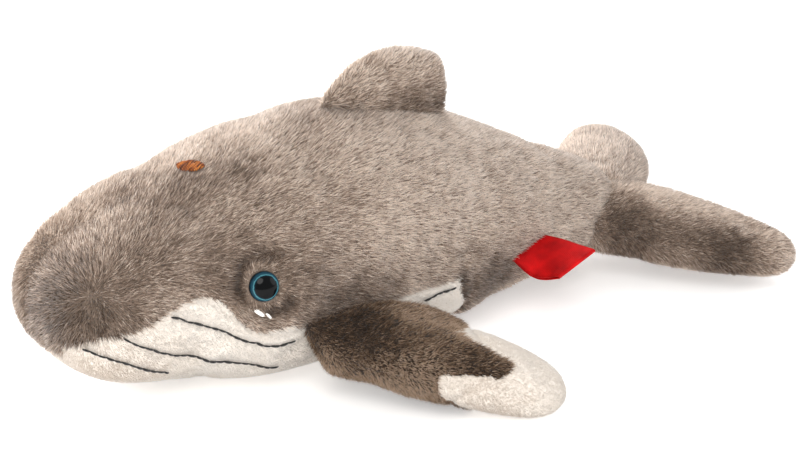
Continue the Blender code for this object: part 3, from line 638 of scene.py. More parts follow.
def panelOfFaces(form, body):
    # The panel of each face: the nearest solid's, with the flipper's end cut to its outline.
    centres = np.array([face.center for face in form["mesh"].polygons])
    distances = panelDistances(centres, form["trees"])
    if body == "body":
        for number, centre, reach, shift in edgeShifts:
            away = np.linalg.norm(onLeft(centres) - np.array(centre), axis=1)
            distances[:, number] -= shift * np.exp(-(away / reach) ** 2)
    panel = np.argmin(distances, axis=1)
    if "flipper" in body:
        above = onLeft(centres) / mm
        dark = insideOutline(above, darkOutline)
        high = above[:, 2] > np.where(above[:, 0] < -20, 17, 12)
        panel[(high & ~dark) | (~high & (above[:, 1] < -96))] = 2
        panel[high & dark & (panel == 2)] = 0
        panel[~high & (above[:, 0] < -20) & (above[:, 1] > -96) & (panel == 2)] = 1
    return panel


for name, form in forms.items():
    shapeSeams(form, name)
    if name == "body":
        shapeBody(form)
    else:
        shapeLimb(form, name)
    form["tree"] = treeOf(form["mesh"])
    form["facePanel"] = panelOfFaces(form, name)
print("whale: seams and creases shaped")


# Cloth pieces

finishOfPanel = {
    "throat_skin": "white", "left_flipper_tip_skin": "white", "right_flipper_tip_skin": "white",
}


def panelFinish(panel):
    if panel in finishOfPanel:
        return finishOfPanel[panel]
    return "dark" if "flipper" in panel else "grey"


def addObject(name, mesh, *materials):
    obj = bpy.data.objects.new(name, mesh)
    scene.collection.objects.link(obj)
    for material in materials:
        mesh.materials.append(material)
    return obj


def attach(piece, body):
    # Pieces of the body ride with it; a limb's pieces keep their place, with their transform applied.
    if body == "body":
        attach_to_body(piece, body)
        return
    hinge, heading = Vector(jointPlaces[body]["pos_m"]), limbHeading(body)
    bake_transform(piece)


def facesMesh(mesh, keep, name):
    # A copy of the mesh with only the faces kept.
    bm = bmesh.new()
    bm.from_mesh(mesh)
    bm.faces.ensure_lookup_table()
    drop = [face for face, wanted in zip(bm.faces, keep) if not wanted]
    bmesh.ops.delete(bm, geom=drop, context="FACES")
    for face in bm.faces:
        face.smooth = True
    out = bpy.data.meshes.new(name)
    bm.to_mesh(out)
    bm.free()
    return out


def makeClothPanels(body, form):
    for number, panel in enumerate(form["panels"]):
        sheet = facesMesh(form["mesh"], form["facePanel"] == number, panel)
        cloth = withModifier(sheet, "SOLIDIFY", thickness=softForm["clothThickness"], offset=-1)
        finish = panelFinish(panel)
        piece = addObject(panel + "_cloth", cloth, backingFinishes[finish])
        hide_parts(panel)
        attach(piece, body)


def makeStuffing(body, form):
    # Loose fibre inside the cloth, drawn in from it and a little lumpy.
    node = body + "_stuffing"
    mesh = withModifier(nodeMeshes[node].copy(), "WELD", merge_threshold=0.01 * mm)
    inset = softForm["fillingInset"]["body" if body == "body" else "limb"]
    setPoints(mesh, meshArrays(mesh) - vertexNormals(mesh) * inset)
    mesh = withModifier(mesh, "SUBSURF", levels=1, render_levels=1)
    points = meshArrays(mesh)
    lumps = noiseValues(points, 9 * mm, 2.0) * 0.5 * mm
    setPoints(mesh, points + vertexNormals(mesh) * lumps[:, None])
    piece = addObject(body + "_fibre_filling", mesh, backingFinishes["fibre"])
    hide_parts(node)
    attach(piece, body)


for body, form in forms.items():
    makeClothPanels(body, form)
    makeStuffing(body, form)
print("whale: cloth panels and stuffing made")


# Fur: tapered fibres in several tones, laid along a nap

furKinds = {
    "grey": {
        "density": 3.6, "length": 3.2 * mm, "width": 0.36 * mm, "lay": 56, "laySpread": 8,
        "scatter": 0.24, "lengthSpread": 0.14, "clumpSize": 8 * mm, "clumpTurn": 0.35,
        "plainTone": 3.4, "grain": 1.15, "blotches": 1.0, "sheen": 0.28,
    },
    "dark": {
        "density": 3.8, "length": 2.7 * mm, "width": 0.36 * mm, "lay": 55, "laySpread": 8,
        "scatter": 0.28, "lengthSpread": 0.14, "clumpSize": 7 * mm, "clumpTurn": 0.40,
        "plainTone": 2.95, "grain": 1.2, "blotches": 1.0, "sheen": 0.15,
    },
    "white": {
        "density": 5.0, "length": 1.4 * mm, "width": 0.36 * mm, "lay": 60, "laySpread": 6,
        "scatter": 0.25, "lengthSpread": 0.12, "clumpSize": 9 * mm, "clumpTurn": 0.4,
        "plainTone": 2.9, "grain": 0.1, "blotches": 0.35, "sheen": 0.1,
    },
}
furTones = {
    # From the darkest tone to the lightest.
    "grey": [(80, 63, 50), (114, 94, 79), (151, 129, 112), (187, 165, 148), (219, 198, 181),
             (243, 226, 211)],
    "dark": [(38, 25, 14), (62, 44, 29), (92, 70, 51), (122, 98, 77), (154, 128, 105),
             (188, 162, 139)],
    "white": [(214, 200, 186), (226, 214, 202), (236, 227, 217), (243, 236, 228), (248, 243, 237),
              (252, 249, 245)],
}
furMaterials = {
    kind: [plainFibre(f"{kind}Fibre{step}", srgb(*tone), sheen=furKinds[kind]["sheen"])
           for step, tone in enumerate(tones)]
    for kind, tones in furTones.items()
}
furRules = {
    "mostInPiece": 48000,
    "quickShare": 0.3,
    "deepInBody": 0.8 * mm,
    # Fur pressed flat under the belly: below this height, and how much of it goes.
    "restingHeight": 3 * mm,
    "restingShare": 0.6,
    "rootDepth": 0.35 * mm,
    "overFloor": 0.15 * mm,
}

# Where the nap lies open and its dark roots show, or lies flat and light, and where shade and light
# are painted into the fur: painted shade in folds, under the fin, above the flipper and beside seams,
# painted light on lit edges; on the left side: centre, reach and change of tone.
napToneAndPaintedShade = {
    "body": [
        # Snout and cheek
        ((-0.149, -0.018, 0.055), 0.018, -1.5), ((-0.150, -0.032, 0.041), 0.016, -1.2),
        ((-0.137, -0.038, 0.046), 0.014, -0.9), ((-0.108, -0.034, 0.068), 0.020, -0.9),
        ((-0.113, -0.040, 0.061), 0.012, -0.4), ((-0.159, -0.006, 0.040), 0.012, -1.0),
        ((-0.144, -0.032, 0.053), 0.007, 0.7), ((-0.153, -0.010, 0.053), 0.014, -1.2),
        ((-0.157, -0.018, 0.043), 0.012, -1.0), ((-0.146, -0.035, 0.046), 0.007, -0.8),
        ((-0.143, -0.018, 0.060), 0.010, -0.8), ((-0.160, 0.004, 0.036), 0.010, -1.3),
        # Round the eye, painted shade in its folds
        ((-0.092, -0.043, 0.065), 0.010, -1.0), ((-0.072, -0.051, 0.056), 0.012, -0.9),
        ((-0.094, -0.049, 0.048), 0.006, -1.4), ((-0.080, -0.052, 0.043), 0.008, -0.8),
        ((-0.100, -0.044, 0.058), 0.010, -1.3),
        # Above the flipper, painted shade
        ((-0.063, -0.053, 0.042), 0.012, -1.2), ((-0.045, -0.053, 0.043), 0.010, -0.9),
        ((-0.060, -0.049, 0.062), 0.014, -0.5),
        # Crown, neck and middle
        ((-0.077, -0.020, 0.086), 0.010, -1.0), ((-0.099, -0.013, 0.081), 0.009, -0.9),
        ((-0.042, -0.004, 0.095), 0.009, -1.2), ((-0.057, -0.020, 0.089), 0.009, -0.6),
        ((-0.023, -0.003, 0.095), 0.006, -0.5), ((-0.116, -0.014, 0.076), 0.018, -0.6),
        ((-0.068, -0.004, 0.091), 0.016, 0.6), ((-0.094, -0.026, 0.079), 0.010, 0.6),
        ((-0.083, -0.016, 0.085), 0.008, -0.6), ((-0.031, -0.036, 0.080), 0.022, 0.5),
        # Flank, and painted shade beside the side seam
        ((0.054, -0.034, 0.034), 0.008, -1.1), ((0.075, -0.026, 0.026), 0.006, -0.8),
        ((0.005, -0.046, 0.029), 0.006, -1.4), ((0.020, -0.043, 0.031), 0.007, -1.0),
        ((0.017, -0.043, 0.026), 0.016, -1.8), ((0.028, -0.039, 0.021), 0.014, -2.3),
        ((0.091, -0.019, 0.037), 0.008, 0.9), ((0.018, -0.002, 0.086), 0.007, -1.2),
        ((-0.024, -0.010, 0.094), 0.010, -0.7),
        ((0.000, -0.036, 0.070), 0.045, 0.7), ((0.060, -0.024, 0.050), 0.040, 0.8),
    ],
    "flipper": [
        ((-0.048, -0.066, 0.033), 0.022, -1.3), ((-0.062, -0.057, 0.030), 0.014, -0.8),
        ((-0.018, -0.101, 0.025), 0.012, -0.9),
        # The lighter edges behind and in front: frosted tips and painted light
        ((-0.018, -0.076, 0.030), 0.010, 1.8), ((-0.030, -0.066, 0.034), 0.010, 2.2),
        ((-0.024, -0.084, 0.030), 0.010, 0.8), ((-0.060, -0.064, 0.018), 0.010, 3.0),
        ((-0.052, -0.078, 0.015), 0.010, 2.6), ((-0.041, -0.090, 0.014), 0.010, 2.4),
        ((-0.036, -0.094, 0.022), 0.010, 1.2), ((-0.064, -0.059, 0.024), 0.007, 1.2),
        ((-0.043, -0.084, 0.024), 0.010, 0.6), ((-0.055, -0.067, 0.026), 0.009, -0.8),
        ((-0.045, -0.064, 0.035), 0.010, -0.7),
    ],
    # Painted shade at the root, along the middle and the lower edge, painted light on the top edge
    # and the end
    "left_fluke": [
        ((0.096, -0.030, 0.029), 0.011, -2.2), ((0.100, -0.030, 0.018), 0.013, -2.4),
        ((0.110, -0.046, 0.026), 0.012, -1.1), ((0.122, -0.055, 0.024), 0.012, -1.6),
        ((0.131, -0.063, 0.020), 0.009, -1.6), ((0.125, -0.030, 0.033), 0.014, 0.8),
        ((0.150, -0.066, 0.019), 0.010, 0.9), ((0.113, -0.025, 0.036), 0.009, 0.8),
        ((0.130, -0.060, 0.012), 0.014, -2.0), ((0.141, -0.044, 0.028), 0.012, 0.8),
    ],
    "right_fluke": [((0.139, -0.022, 0.030), 0.014, -1.0)],
    # Painted shade at the fin's base, painted light on its front top edge
    "back_fin": [((0.010, -0.005, 0.089), 0.013, -2.0), ((0.000, -0.003, 0.113), 0.012, 0.8),
                 ((0.002, -0.006, 0.094), 0.010, -0.9), ((0.020, -0.003, 0.089), 0.007, -1.5),
                 ((-0.019, -0.003, 0.110), 0.010, 1.0)],
}
napToneAndPaintedShade["left_flipper"] = napToneAndPaintedShade["right_flipper"] = napToneAndPaintedShade.pop("flipper")
# Painted shade on the white fur, under the throat's front and on the flipper's white end near the
# floor: centre, reach and change of tone.
whitePaintedShade = {
    "body": [((-0.148, -0.030, 0.027), 0.018, -2.6), ((-0.128, -0.037, 0.019), 0.020, -1.1)],
    "flipper": [((-0.015, -0.110, 0.012), 0.028, -1.6)],
}
# The same along lines: painted shade in the folds round the eye, beside the cross seam and above the
# flipper, painted light on the lid's ridge, and frosted tips with painted light along the flipper's
# tongue: route, reach and change of tone.
paintedShadeAndLightLines = {
    "body": [
        (eyeFolds["above"], 0.0030, -4.0), (eyeFolds["below"], 0.0026, -3.6),
        (eyeFolds["lid"], 0.0025, 1.0),
        # Painted shade beside the cross seam, and above the flipper
        ([(0.0042, -0.0470, 0.0333), (0.0054, -0.0459, 0.0294), (0.0068, -0.0445, 0.0253),
          (0.0080, -0.0427, 0.0197), (0.0124, -0.0348, 0.0120)], 0.0028, -2.0),
        ([(-0.0688, -0.0537, 0.0328), (-0.0662, -0.0538, 0.0348), (-0.0582, -0.0537, 0.0375),
          (-0.0492, -0.0534, 0.0386), (-0.0400, -0.0529, 0.0383), (-0.0315, -0.0522, 0.0389)],
         0.0055, -1.5),
    ],
    "flipper": [
        # Frosted tips with painted light along the tongue's edge
        ([(-0.0170, -0.0850, 0.0280), (-0.0125, -0.0937, 0.0265), (-0.0095, -0.1000, 0.0255),
          (-0.0080, -0.1050, 0.0240)], 0.0045, 2.1),
    ],
}


parting = {"centre": (-0.150, -0.030, 0.058), "start": 12 * mm, "reach": 48 * mm, "ahead": 20 * mm,
           "tailward": (1, 0, -0.16)}
eyeHair = {"reach": 10 * mm, "combed": 0.8, "shorter": 0.55, "darker": 0.3}
finNap = (0.80, 0, 0.60)


def unitRows(rows):
    return rows / np.maximum(np.linalg.norm(rows, axis=1, keepdims=True), 1e-9)


def bodyNap(points):
    # From a parting on each side of the snout, then along the body to the tail.
    side = np.where(points[:, 1:2] < 0, 1.0, -1.0)
    one = np.ones_like(side)
    centre = np.array(parting["centre"]) * np.concatenate([one, side, one], axis=1)
    away = points - centre
    distance = np.linalg.norm(away, axis=1, keepdims=True)
    share = np.clip((distance - parting["start"]) / parting["reach"], 0, 1)
    tailward = np.array(parting["tailward"])
    ahead = np.clip((centre[:, :1] - points[:, :1]) / parting["ahead"], 0, 1)
    share = share * (1 - ahead)
    return unitRows(unitRows(away) * (1 - share) + tailward * share)


def eyeNap(points, nap):
    # The short hair round each eye combs away from it.
    near = np.zeros(len(points))
    for side in sides:
        away = points - np.array(eyeCentres[side])
        distance = np.linalg.norm(away, axis=1, keepdims=True)
        share = eyeHair["combed"] * np.exp(-(distance / eyeHair["reach"]) ** 4)
        nap = nap * (1 - share) + unitRows(away) * share
        near = np.maximum(near, share[:, 0])
    return unitRows(nap), near


def limbNap(body, points):
    heading = finNap if body == "back_fin" else limbHeading(body)
    return np.tile(np.array(heading), (len(points), 1))


def rootPoints(mesh, keep, density, rng):
    # Random places spread evenly over the kept faces, with their normals.
    mesh.calc_loop_triangles()
    count = len(mesh.loop_triangles)
    corners = np.zeros(count * 3, dtype=int)
    owner = np.zeros(count, dtype=int)
    mesh.loop_triangles.foreach_get("vertices", corners)
    mesh.loop_triangles.foreach_get("polygon_index", owner)
    corners = corners.reshape(-1, 3)[keep[owner]]
    points, normals = meshArrays(mesh), vertexNormals(mesh)
    a, b, c = (points[corners[:, k]] for k in range(3))
    area = np.linalg.norm(np.cross(b - a, c - a), axis=1) / 2
    number = int(area.sum() / (mm * mm) * density)
    pick = rng.choice(len(area), size=number, p=area / area.sum())
    u, v = rng.random(number), rng.random(number)
    flip = u + v > 1
    u[flip], v[flip] = 1 - u[flip], 1 - v[flip]
    weights = np.stack([1 - u - v, u, v], axis=1)
    chosen = corners[pick]
    places = sum(points[chosen[:, k]] * weights[:, k:k + 1] for k in range(3))
    facing = unitRows(sum(normals[chosen[:, k]] * weights[:, k:k + 1] for k in range(3)))
    return places, facing


def strandMesh(name, roots, normals, naps, lengths, widths, lay, twist):
    # Each fibre is a closed three-sided taper: a ring in the backing and a tip.
    lay = lay[:, None]
    ahead = unitRows(normals * np.cos(lay) + naps * np.sin(lay))
    base = roots - normals * furRules["rootDepth"]
    tip = roots + ahead * lengths[:, None]
    across = unitRows(np.cross(ahead, normals + naps * 0.31))
    other = unitRows(np.cross(ahead, across))
    corners = []
    for corner in range(3):
        angle = twist + math.tau * corner / 3
        offset = across * np.cos(angle)[:, None] + other * np.sin(angle)[:, None]
        corners.append(base + offset * widths[:, None] / 2)
    points = np.stack([*corners, tip], axis=1)
    points[:, :, 2] = np.maximum(points[:, :, 2], furRules["overFloor"])
    count = len(roots)
    faces = np.array([[0, 1, 3], [1, 2, 3], [2, 0, 3], [0, 2, 1]])
    loops = (np.arange(count)[:, None, None] * 4 + faces[None]).ravel()
    mesh = bpy.data.meshes.new(name)
    mesh.vertices.add(count * 4)
    mesh.vertices.foreach_set("co", points.reshape(-1))
    mesh.loops.add(len(loops))
    mesh.loops.foreach_set("vertex_index", loops)
    mesh.polygons.add(count * 4)
    mesh.polygons.foreach_set("loop_start", np.arange(count * 4) * 3)
    mesh.update(calc_edges=True)
    return mesh


def toneOf(points, kind, near, rng, body):
    # Tone number of each fibre: soft blotches, combed patches with painted shade and light, and a
    # random part.
    spec = furKinds[kind]
    tone = spec["blotches"] * (0.9 * noiseValues(points, 26 * mm, 3.1)
                               + 1.0 * noiseValues(points, 5 * mm, 8.7)) + spec["plainTone"]
    shades = whitePaintedShade[body.split("_")[-1]] if kind == "white" else napToneAndPaintedShade[body]
    mirrored = onLeft(points)
    # Patches of nap tone with painted shade and light, or painted shade alone on the white fur.
    for centre, reach, change in shades:
        away = np.linalg.norm((points if body == "body" else mirrored) - np.array(centre), axis=1)
        tone += change * np.exp(-(away / reach) ** 2)
    # Lines of painted shade and light.
    if kind != "white":
        for route, reach, change in paintedShadeAndLightLines.get(body.split("_")[-1], []):
            tone += change * np.exp(-(distanceToRoute(mirrored, route) / reach) ** 2)
    tone += near * -eyeHair["darker"] + rng.normal(0, spec["grain"], len(points))
    return np.clip(np.round(tone), 0, len(furTones[kind]) - 1).astype(int)


def growFur(panel, body, form, number, seed):
    rng = np.random.default_rng(seed)
    kind = panelFinish(panel)
    spec = furKinds[kind]
    keep = form["facePanel"] == number
    density = spec["density"] * 1
    roots, normals = rootPoints(form["mesh"], keep, density, rng)
    inside = np.zeros(len(roots), dtype=bool)
    for other, otherForm in forms.items():
        if other == body or (body != "body" and other != "body"):
            continue
        low, high = (np.array(corner) for corner in boundsOf(otherForm["mesh"]))
        close = np.nonzero(((roots > low) & (roots < high)).all(axis=1))[0]
        for index in close:
            spot, facing, _, away = otherForm["tree"].find_nearest(roots[index])
            if facing.dot(Vector(roots[index]) - spot) < 0 and away > furRules["deepInBody"]:
                inside[index] = True
    bottom = (normals[:, 2] < -0.85) & (roots[:, 2] < furRules["restingHeight"])
    bottom &= rng.random(len(roots)) < furRules["restingShare"]
    roots, normals = roots[~(inside | bottom)], normals[~(inside | bottom)]
    near = np.zeros(len(roots))
    if body == "body":
        naps, near = eyeNap(roots, bodyNap(roots))
    else:
        naps = limbNap(body, roots)
    naps = naps + spec["clumpTurn"] * noiseRows(roots, spec["clumpSize"], seed % 7)
    naps = naps + spec["scatter"] * rng.normal(0, 1, (len(roots), 3))
    naps = unitRows(naps - normals * np.sum(naps * normals, axis=1, keepdims=True))
    spread = np.clip(rng.normal(1, spec["lengthSpread"], len(roots)), 0.45, 1.5)
    lengths = spec["length"] * spread * (1 - eyeHair["shorter"] * near)
    hide = np.zeros(len(roots), dtype=bool)
    if body == "body":
        for side in sides:
            away = np.linalg.norm(roots - np.array(eyeCentres[side]), axis=1)
            hide |= away < eyeFinish["radius"] * 1.02
        for centre, longWay, wideWay, halfLong, halfWide in bareSpots:
            away = roots - np.array(centre) + naps * spec["length"] * 0.45
            hide |= np.hypot(away @ np.array(longWay) / halfLong,
                             away @ np.array(wideWay) / halfWide) < 1
    lay = np.radians(spec["lay"] + np.clip(rng.normal(0, spec["laySpread"], len(roots)), -20, 14))
    widths = spec["width"] * rng.uniform(0.75, 1.2, len(roots))
    tones = toneOf(roots, kind, near, rng, body)
    twist = rng.uniform(0, math.tau, len(roots))
    order = np.nonzero(~hide)[0]
    order = order[np.argsort(roots[order, 0], kind="stable")]
    batches = max(1, math.ceil(len(order) / furRules["mostInPiece"]))
    for batch, chosen in enumerate(np.array_split(order, batches), 1):
        name = f"{panel}_fur_{batch}"
        mesh = strandMesh(name, roots[chosen], normals[chosen], naps[chosen], lengths[chosen],
                          widths[chosen], lay[chosen], twist[chosen])
        piece = addObject(name, mesh, *furMaterials[kind])
        mesh.polygons.foreach_set("material_index", np.repeat(tones[chosen], 4))
        mesh.shade_smooth()
        attach(piece, body)


def boundsOf(mesh):
    points = meshArrays(mesh)
    return points.min(axis=0), points.max(axis=0)


# Eyes

eyeFinish = {
    "radius": 6.0 * mm,
    "domeHeight": 3.9 * mm,
    "rimHeight": 0.9 * mm,
    "steps": 56,
    "rings": 14,
    "postRadius": 2.0 * mm,
    "postLength": 12 * mm,
    "ribs": 7,
    "lift": 0.2 * mm,
}
bareSpots = []


def eyeMaterial():
    # A dark pupil, a thin bright ring and a deep blue-green rim under clear gloss.
    material, tree, shader = startMaterial("glossyEye", {
        "Roughness": 0.12, "Specular IOR Level": 0.05, "Coat Weight": 0.2, "Coat Roughness": 0.03})
    place = addNode(tree, "TexCoord").outputs["Object"]
    split = addNode(tree, "SeparateXYZ")
    flat = addNode(tree, "CombineXYZ")
    length = addNode(tree, "VectorMath", operation="LENGTH")
    streaks = addNode(tree, "TexNoise", [("Scale", 900)])
    add = addNode(tree, "Math", [(1, 0.0006)], operation="MULTIPLY_ADD")
    scale = addNode(tree, "Math", [(1, eyeFinish["radius"] * 1.05)], operation="DIVIDE")
    ramp = addRamp(tree, [
        (0.0, (0.0008, 0.0008, 0.001)), (0.66, (0.0008, 0.0011, 0.0018)),
        (0.76, (0.002, 0.008, 0.014)), (0.80, (0.035, 0.15, 0.19)),
        (0.825, (0.09, 0.27, 0.31)), (0.855, (0.012, 0.06, 0.09)),
        (0.93, (0.010, 0.045, 0.07)), (1.0, (0.002, 0.005, 0.008))])
    linkAll(tree, (place, split.inputs[0]), (place, streaks.inputs["Vector"]),
            (split.outputs["X"], flat.inputs["X"]), (split.outputs["Y"], flat.inputs["Y"]),
            (flat.outputs[0], length.inputs[0]), (streaks.outputs["Fac"], add.inputs[0]),
            (length.outputs["Value"], add.inputs[2]), (add.outputs[0], scale.inputs[0]),
            (scale.outputs[0], ramp.inputs["Fac"]),
            (ramp.outputs["Color"], shader.inputs["Base Color"]))
    return material


def turnedMesh(name, profile, steps):
    # A closed turned solid from its profile of radius and height.
    bm = bmesh.new()
    rows = []
    for radius, height in profile:
        if radius == 0:
            rows.append([bm.verts.new((0, 0, height))])
        else:
            rows.append([bm.verts.new((radius * math.cos(math.tau * k / steps),
                                       radius * math.sin(math.tau * k / steps), height))
                         for k in range(steps)])
    for lower, upper in zip(rows, rows[1:]):
        for k in range(steps):
            n = (k + 1) % steps
            if len(lower) == 1:
                bm.faces.new((lower[0], upper[n], upper[k]))
            elif len(upper) == 1:
                bm.faces.new((lower[k], lower[n], upper[0]))
            else:
                bm.faces.new((lower[k], lower[n], upper[n], upper[k]))
    bmesh.ops.recalc_face_normals(bm, faces=bm.faces)
    mesh = bpy.data.meshes.new(name)
    bm.to_mesh(mesh)
    bm.free()
    return mesh


def eyeProfile():
    points = []
    for k in range(eyeFinish["rings"] + 1):
        angle = math.pi / 2 * k / eyeFinish["rings"]
        points.append((eyeFinish["radius"] * math.sin(angle),
                       eyeFinish["rimHeight"] + eyeFinish["domeHeight"] * math.cos(angle)))
    points[0] = (0, points[0][1])
    points.append((eyeFinish["radius"], eyeFinish["rimHeight"] * 0.3))
    points.append((eyeFinish["radius"] * 0.96, 0))
    points.append((eyeFinish["postRadius"], -0.2 * mm))
    ribStep = (eyeFinish["postLength"] - 3 * mm) / eyeFinish["ribs"]
    for rib in range(eyeFinish["ribs"]):
        height = -1.6 * mm - rib * ribStep
        points.append((eyeFinish["postRadius"] * 0.86, height))
        points.append((eyeFinish["postRadius"], height - ribStep * 0.75))
    points.append((eyeFinish["postRadius"] * 0.5, -eyeFinish["postLength"]))
    points.append((0, -eyeFinish["postLength"]))
    return points


def makeEyes():
    gloss = eyeMaterial()
    for side in sides:
        name = side + "_eye"
        top, axis = eyeTop(side)
        seat = top - axis * (eyeFinish["rimHeight"] + eyeFinish["domeHeight"] - eyeFinish["lift"])
        mesh = turnedMesh(name + "_glossy", eyeProfile(), eyeFinish["steps"])
        piece = addObject(name + "_glossy", mesh, gloss)
        mesh.shade_smooth()
        turn = axis.to_track_quat("Z", "Y").to_matrix().to_4x4()
        piece.matrix_world = Matrix.Translation(seat) @ turn
        eyeCentres[side] = seat + axis * eyeFinish["rimHeight"]
        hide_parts(name)
        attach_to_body(piece, "body")


def washerFinish():
    # Moulded plastic with faint cloudiness.
    material = plushBacking("washerPlastic", srgb(205, 203, 198), srgb(232, 230, 226), 0.004,
                            0.0001, roughness=0.4)
    for side in sides:
        node = frame["nodes"][side + "_eye_washer"]
        node.data.materials.clear()
        node.data.materials.append(material)


makeEyes()
washerFinish()
print("whale: eyes made")


# Embroidery

def threadMaterial(name, dark, light, roughness=0.45, sheen=0.2):
    # Twisted thread: fine slanted bands with a soft sheen.
    material, tree, shader = startMaterial(name, {"Roughness": roughness, "Sheen Weight": sheen,
                                                  "Specular IOR Level": 0.3})
    place = addNode(tree, "TexCoord").outputs["Object"]
    wave = addNode(tree, "TexWave", [("Scale", 420), ("Distortion", 2)])
    ramp = addRamp(tree, [(0.0, dark), (1.0, light)])
    bump = addNode(tree, "Bump", [("Distance", 0.0002), ("Strength", 0.6)])
    linkAll(tree, (place, wave.inputs["Vector"]), (wave.outputs["Fac"], ramp.inputs["Fac"]),
            (ramp.outputs["Color"], shader.inputs["Base Color"]),
            (wave.outputs["Fac"], bump.inputs["Height"]),
            (bump.outputs["Normal"], shader.inputs["Normal"]))
    return material


threads = {
    "black": threadMaterial("blackThread", srgb(8, 7, 7), srgb(34, 30, 28)),
    "white": threadMaterial("whiteThread", srgb(235, 230, 222), srgb(252, 250, 246)),
    "brown": threadMaterial("brownThread", srgb(96, 42, 8), srgb(176, 96, 34), 0.7, 0),
    "darkBrown": threadMaterial("darkBrownThread", srgb(48, 20, 6), srgb(104, 50, 14), 0.7, 0),
    "orange": threadMaterial("orangeThread", srgb(150, 80, 24), srgb(214, 132, 56), 0.7, 0),
}

stitching = {
    "throatRadius": 0.50 * mm,
    "throatStitch": 3.3 * mm,
    "throatLift": 1.1 * mm,
    "wander": 0.22 * mm,
    "blowholeStitches": 22,
    "blowholeRadius": 0.28 * mm,
    "blowholeLift": 2.0 * mm,
    "blowholeShift": (-2.1 * mm, -2.6 * mm, 0),
    "blowholeTurn": 10,
    "glintStitches": (3, 2),
    "glintGap": 0.42 * mm,
    "glintShift": ((0.2 * mm, 0, 1.4 * mm), (-0.4 * mm, 0, 1.0 * mm)),
    "glintRadius": 0.36 * mm,
    "glintLift": 3.0 * mm,
}


def addStitch(bm, start, end, radius, up, corners=8):
    # One stitch: a thread that dives in at both ends and bulges between them.
    start, end = Vector(start), Vector(end)
    run = end - start
    ahead = run.normalized()
    across = ahead.cross(up).normalized()
    top = across.cross(ahead)
    rows = []
    for share, size, height in ((0.0, 0.25, -0.6), (0.12, 0.75, -0.1), (0.35, 1.0, 0.15),
                                (0.65, 1.0, 0.15), (0.88, 0.75, -0.1), (1.0, 0.25, -0.6)):
        centre = start + run * share + top * height * radius
        rows.append([bm.verts.new(centre + (across * math.cos(math.tau * k / corners)
                                            + top * math.sin(math.tau * k / corners))
                                  * radius * size) for k in range(corners)])
    for lower, upper in zip(rows, rows[1:]):
        for k in range(corners):
            n = (k + 1) % corners
            bm.faces.new((lower[k], lower[n], upper[n], upper[k])).smooth = True
    bm.faces.new(rows[0][::-1])
    bm.faces.new(rows[-1])


def onSkin(point, lift):
    spot, normal = forms["body"]["tree"].find_nearest(point)[:2]
    return spot + normal * lift, normal


def nodeRoute(name):
    # The centre line of a thread node, which runs from nose to tail.
    points = np.unique(meshArrays(nodeMeshes[name]).round(7), axis=0)
    points = points[np.argsort(points[:, 0])]
    groups = max(2, len(points) // 4)
    return [part.mean(axis=0) for part in np.array_split(points, groups)]


def resample(route, step):
    # Points at an even distance along a route.
    route = [Vector(point) for point in route]
    out = [route[0]]
    left = step
    for start, end in zip(route, route[1:]):
        run = (end - start).length
        while left <= run:
            out.append(start.lerp(end, left / run))
            left += step
        left -= run
    return out


def finishEmbroidery(bm, name, node, thread):
    bmesh.ops.recalc_face_normals(bm, faces=bm.faces)
    mesh = bpy.data.meshes.new(name)
    bm.to_mesh(mesh)
    bm.free()
    piece = addObject(name, mesh, threads[thread])
    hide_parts(node)
    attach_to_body(piece, "body")
    return piece


def makeThroatLines():
    for side in sides:
        for line in range(1, 5):
            node = f"{side}_throat_line_{line}"
            rng = np.random.default_rng(40 + line)
            route = resample(nodeRoute(node), stitching["throatStitch"])
            bm = bmesh.new()
            spots = []
            for point in route:
                wandered = point + Vector(rng.normal(0, stitching["wander"], 3))
                spots.append(onSkin(wandered, stitching["throatLift"]))
            for (start, normal), (end, _) in zip(spots, spots[1:]):
                run = end - start
                radius = stitching["throatRadius"] * rng.uniform(0.8, 1.15)
                addStitch(bm, start - run * 0.07, end + run * 0.07, radius, normal)
            finishEmbroidery(bm, node + "_stitches", node, "black")


def makeBlowhole():
    # Satin stitches across an oval, two to a row, whose long way the node gives.
    node = "blowhole_embroidery"
    points = meshArrays(nodeMeshes[node])
    longWay, wideWay = (Vector(row) for row in np.linalg.svd(points - points.mean(axis=0))[2][:2])
    halfLong = np.ptp(points @ np.array(longWay)) / 2 * 0.93
    halfWide = np.ptp(points @ np.array(wideWay)) / 2
    if longWay.y > 0:
        longWay.negate()
    if wideWay.x < 0:
        wideWay.negate()
    turn = math.radians(stitching["blowholeTurn"])
    longWay, wideWay = (longWay * math.cos(turn) + wideWay * math.sin(turn),
                        wideWay * math.cos(turn) - longWay * math.sin(turn))
    centre = Vector(points.mean(axis=0)) + Vector(stitching["blowholeShift"])
    bareSpots.append((centre, longWay, wideWay, halfLong * 1.12, halfWide * 1.15))
    bm = bmesh.new()
    rng = np.random.default_rng(71)
    count = stitching["blowholeStitches"]
    for k in range(count):
        share = (k + 0.5) / count * 2 - 1
        reach = math.sqrt(1 - share * share) * halfWide * rng.uniform(0.92, 1.08)
        place = centre + longWay * share * halfLong
        slant = longWay * rng.uniform(0.2, 0.7) * mm
        lift = stitching["blowholeLift"] * rng.uniform(0.78, 0.9)
        start, normal = onSkin(place - wideWay * reach - slant, lift)
        end, _ = onSkin(place + wideWay * reach + slant, lift)
        middle, up = onSkin(place + wideWay * reach * rng.uniform(-0.5, 0.5), lift + 0.3 * mm)
        addStitch(bm, start, middle + (end - start) * 0.06, stitching["blowholeRadius"], normal)
        addStitch(bm, middle - (end - start) * 0.06, end, stitching["blowholeRadius"], up)
    piece = finishEmbroidery(bm, node + "_stitches", node, "brown")
    for thread in ("darkBrown", "orange"):
        piece.data.materials.append(threads[thread])
    shades = rng.choice(3, size=count * 2, p=(0.4, 0.3, 0.3))
    facesEach = len(piece.data.polygons) // len(shades)
    piece.data.polygons.foreach_set("material_index", np.repeat(shades, facesEach))


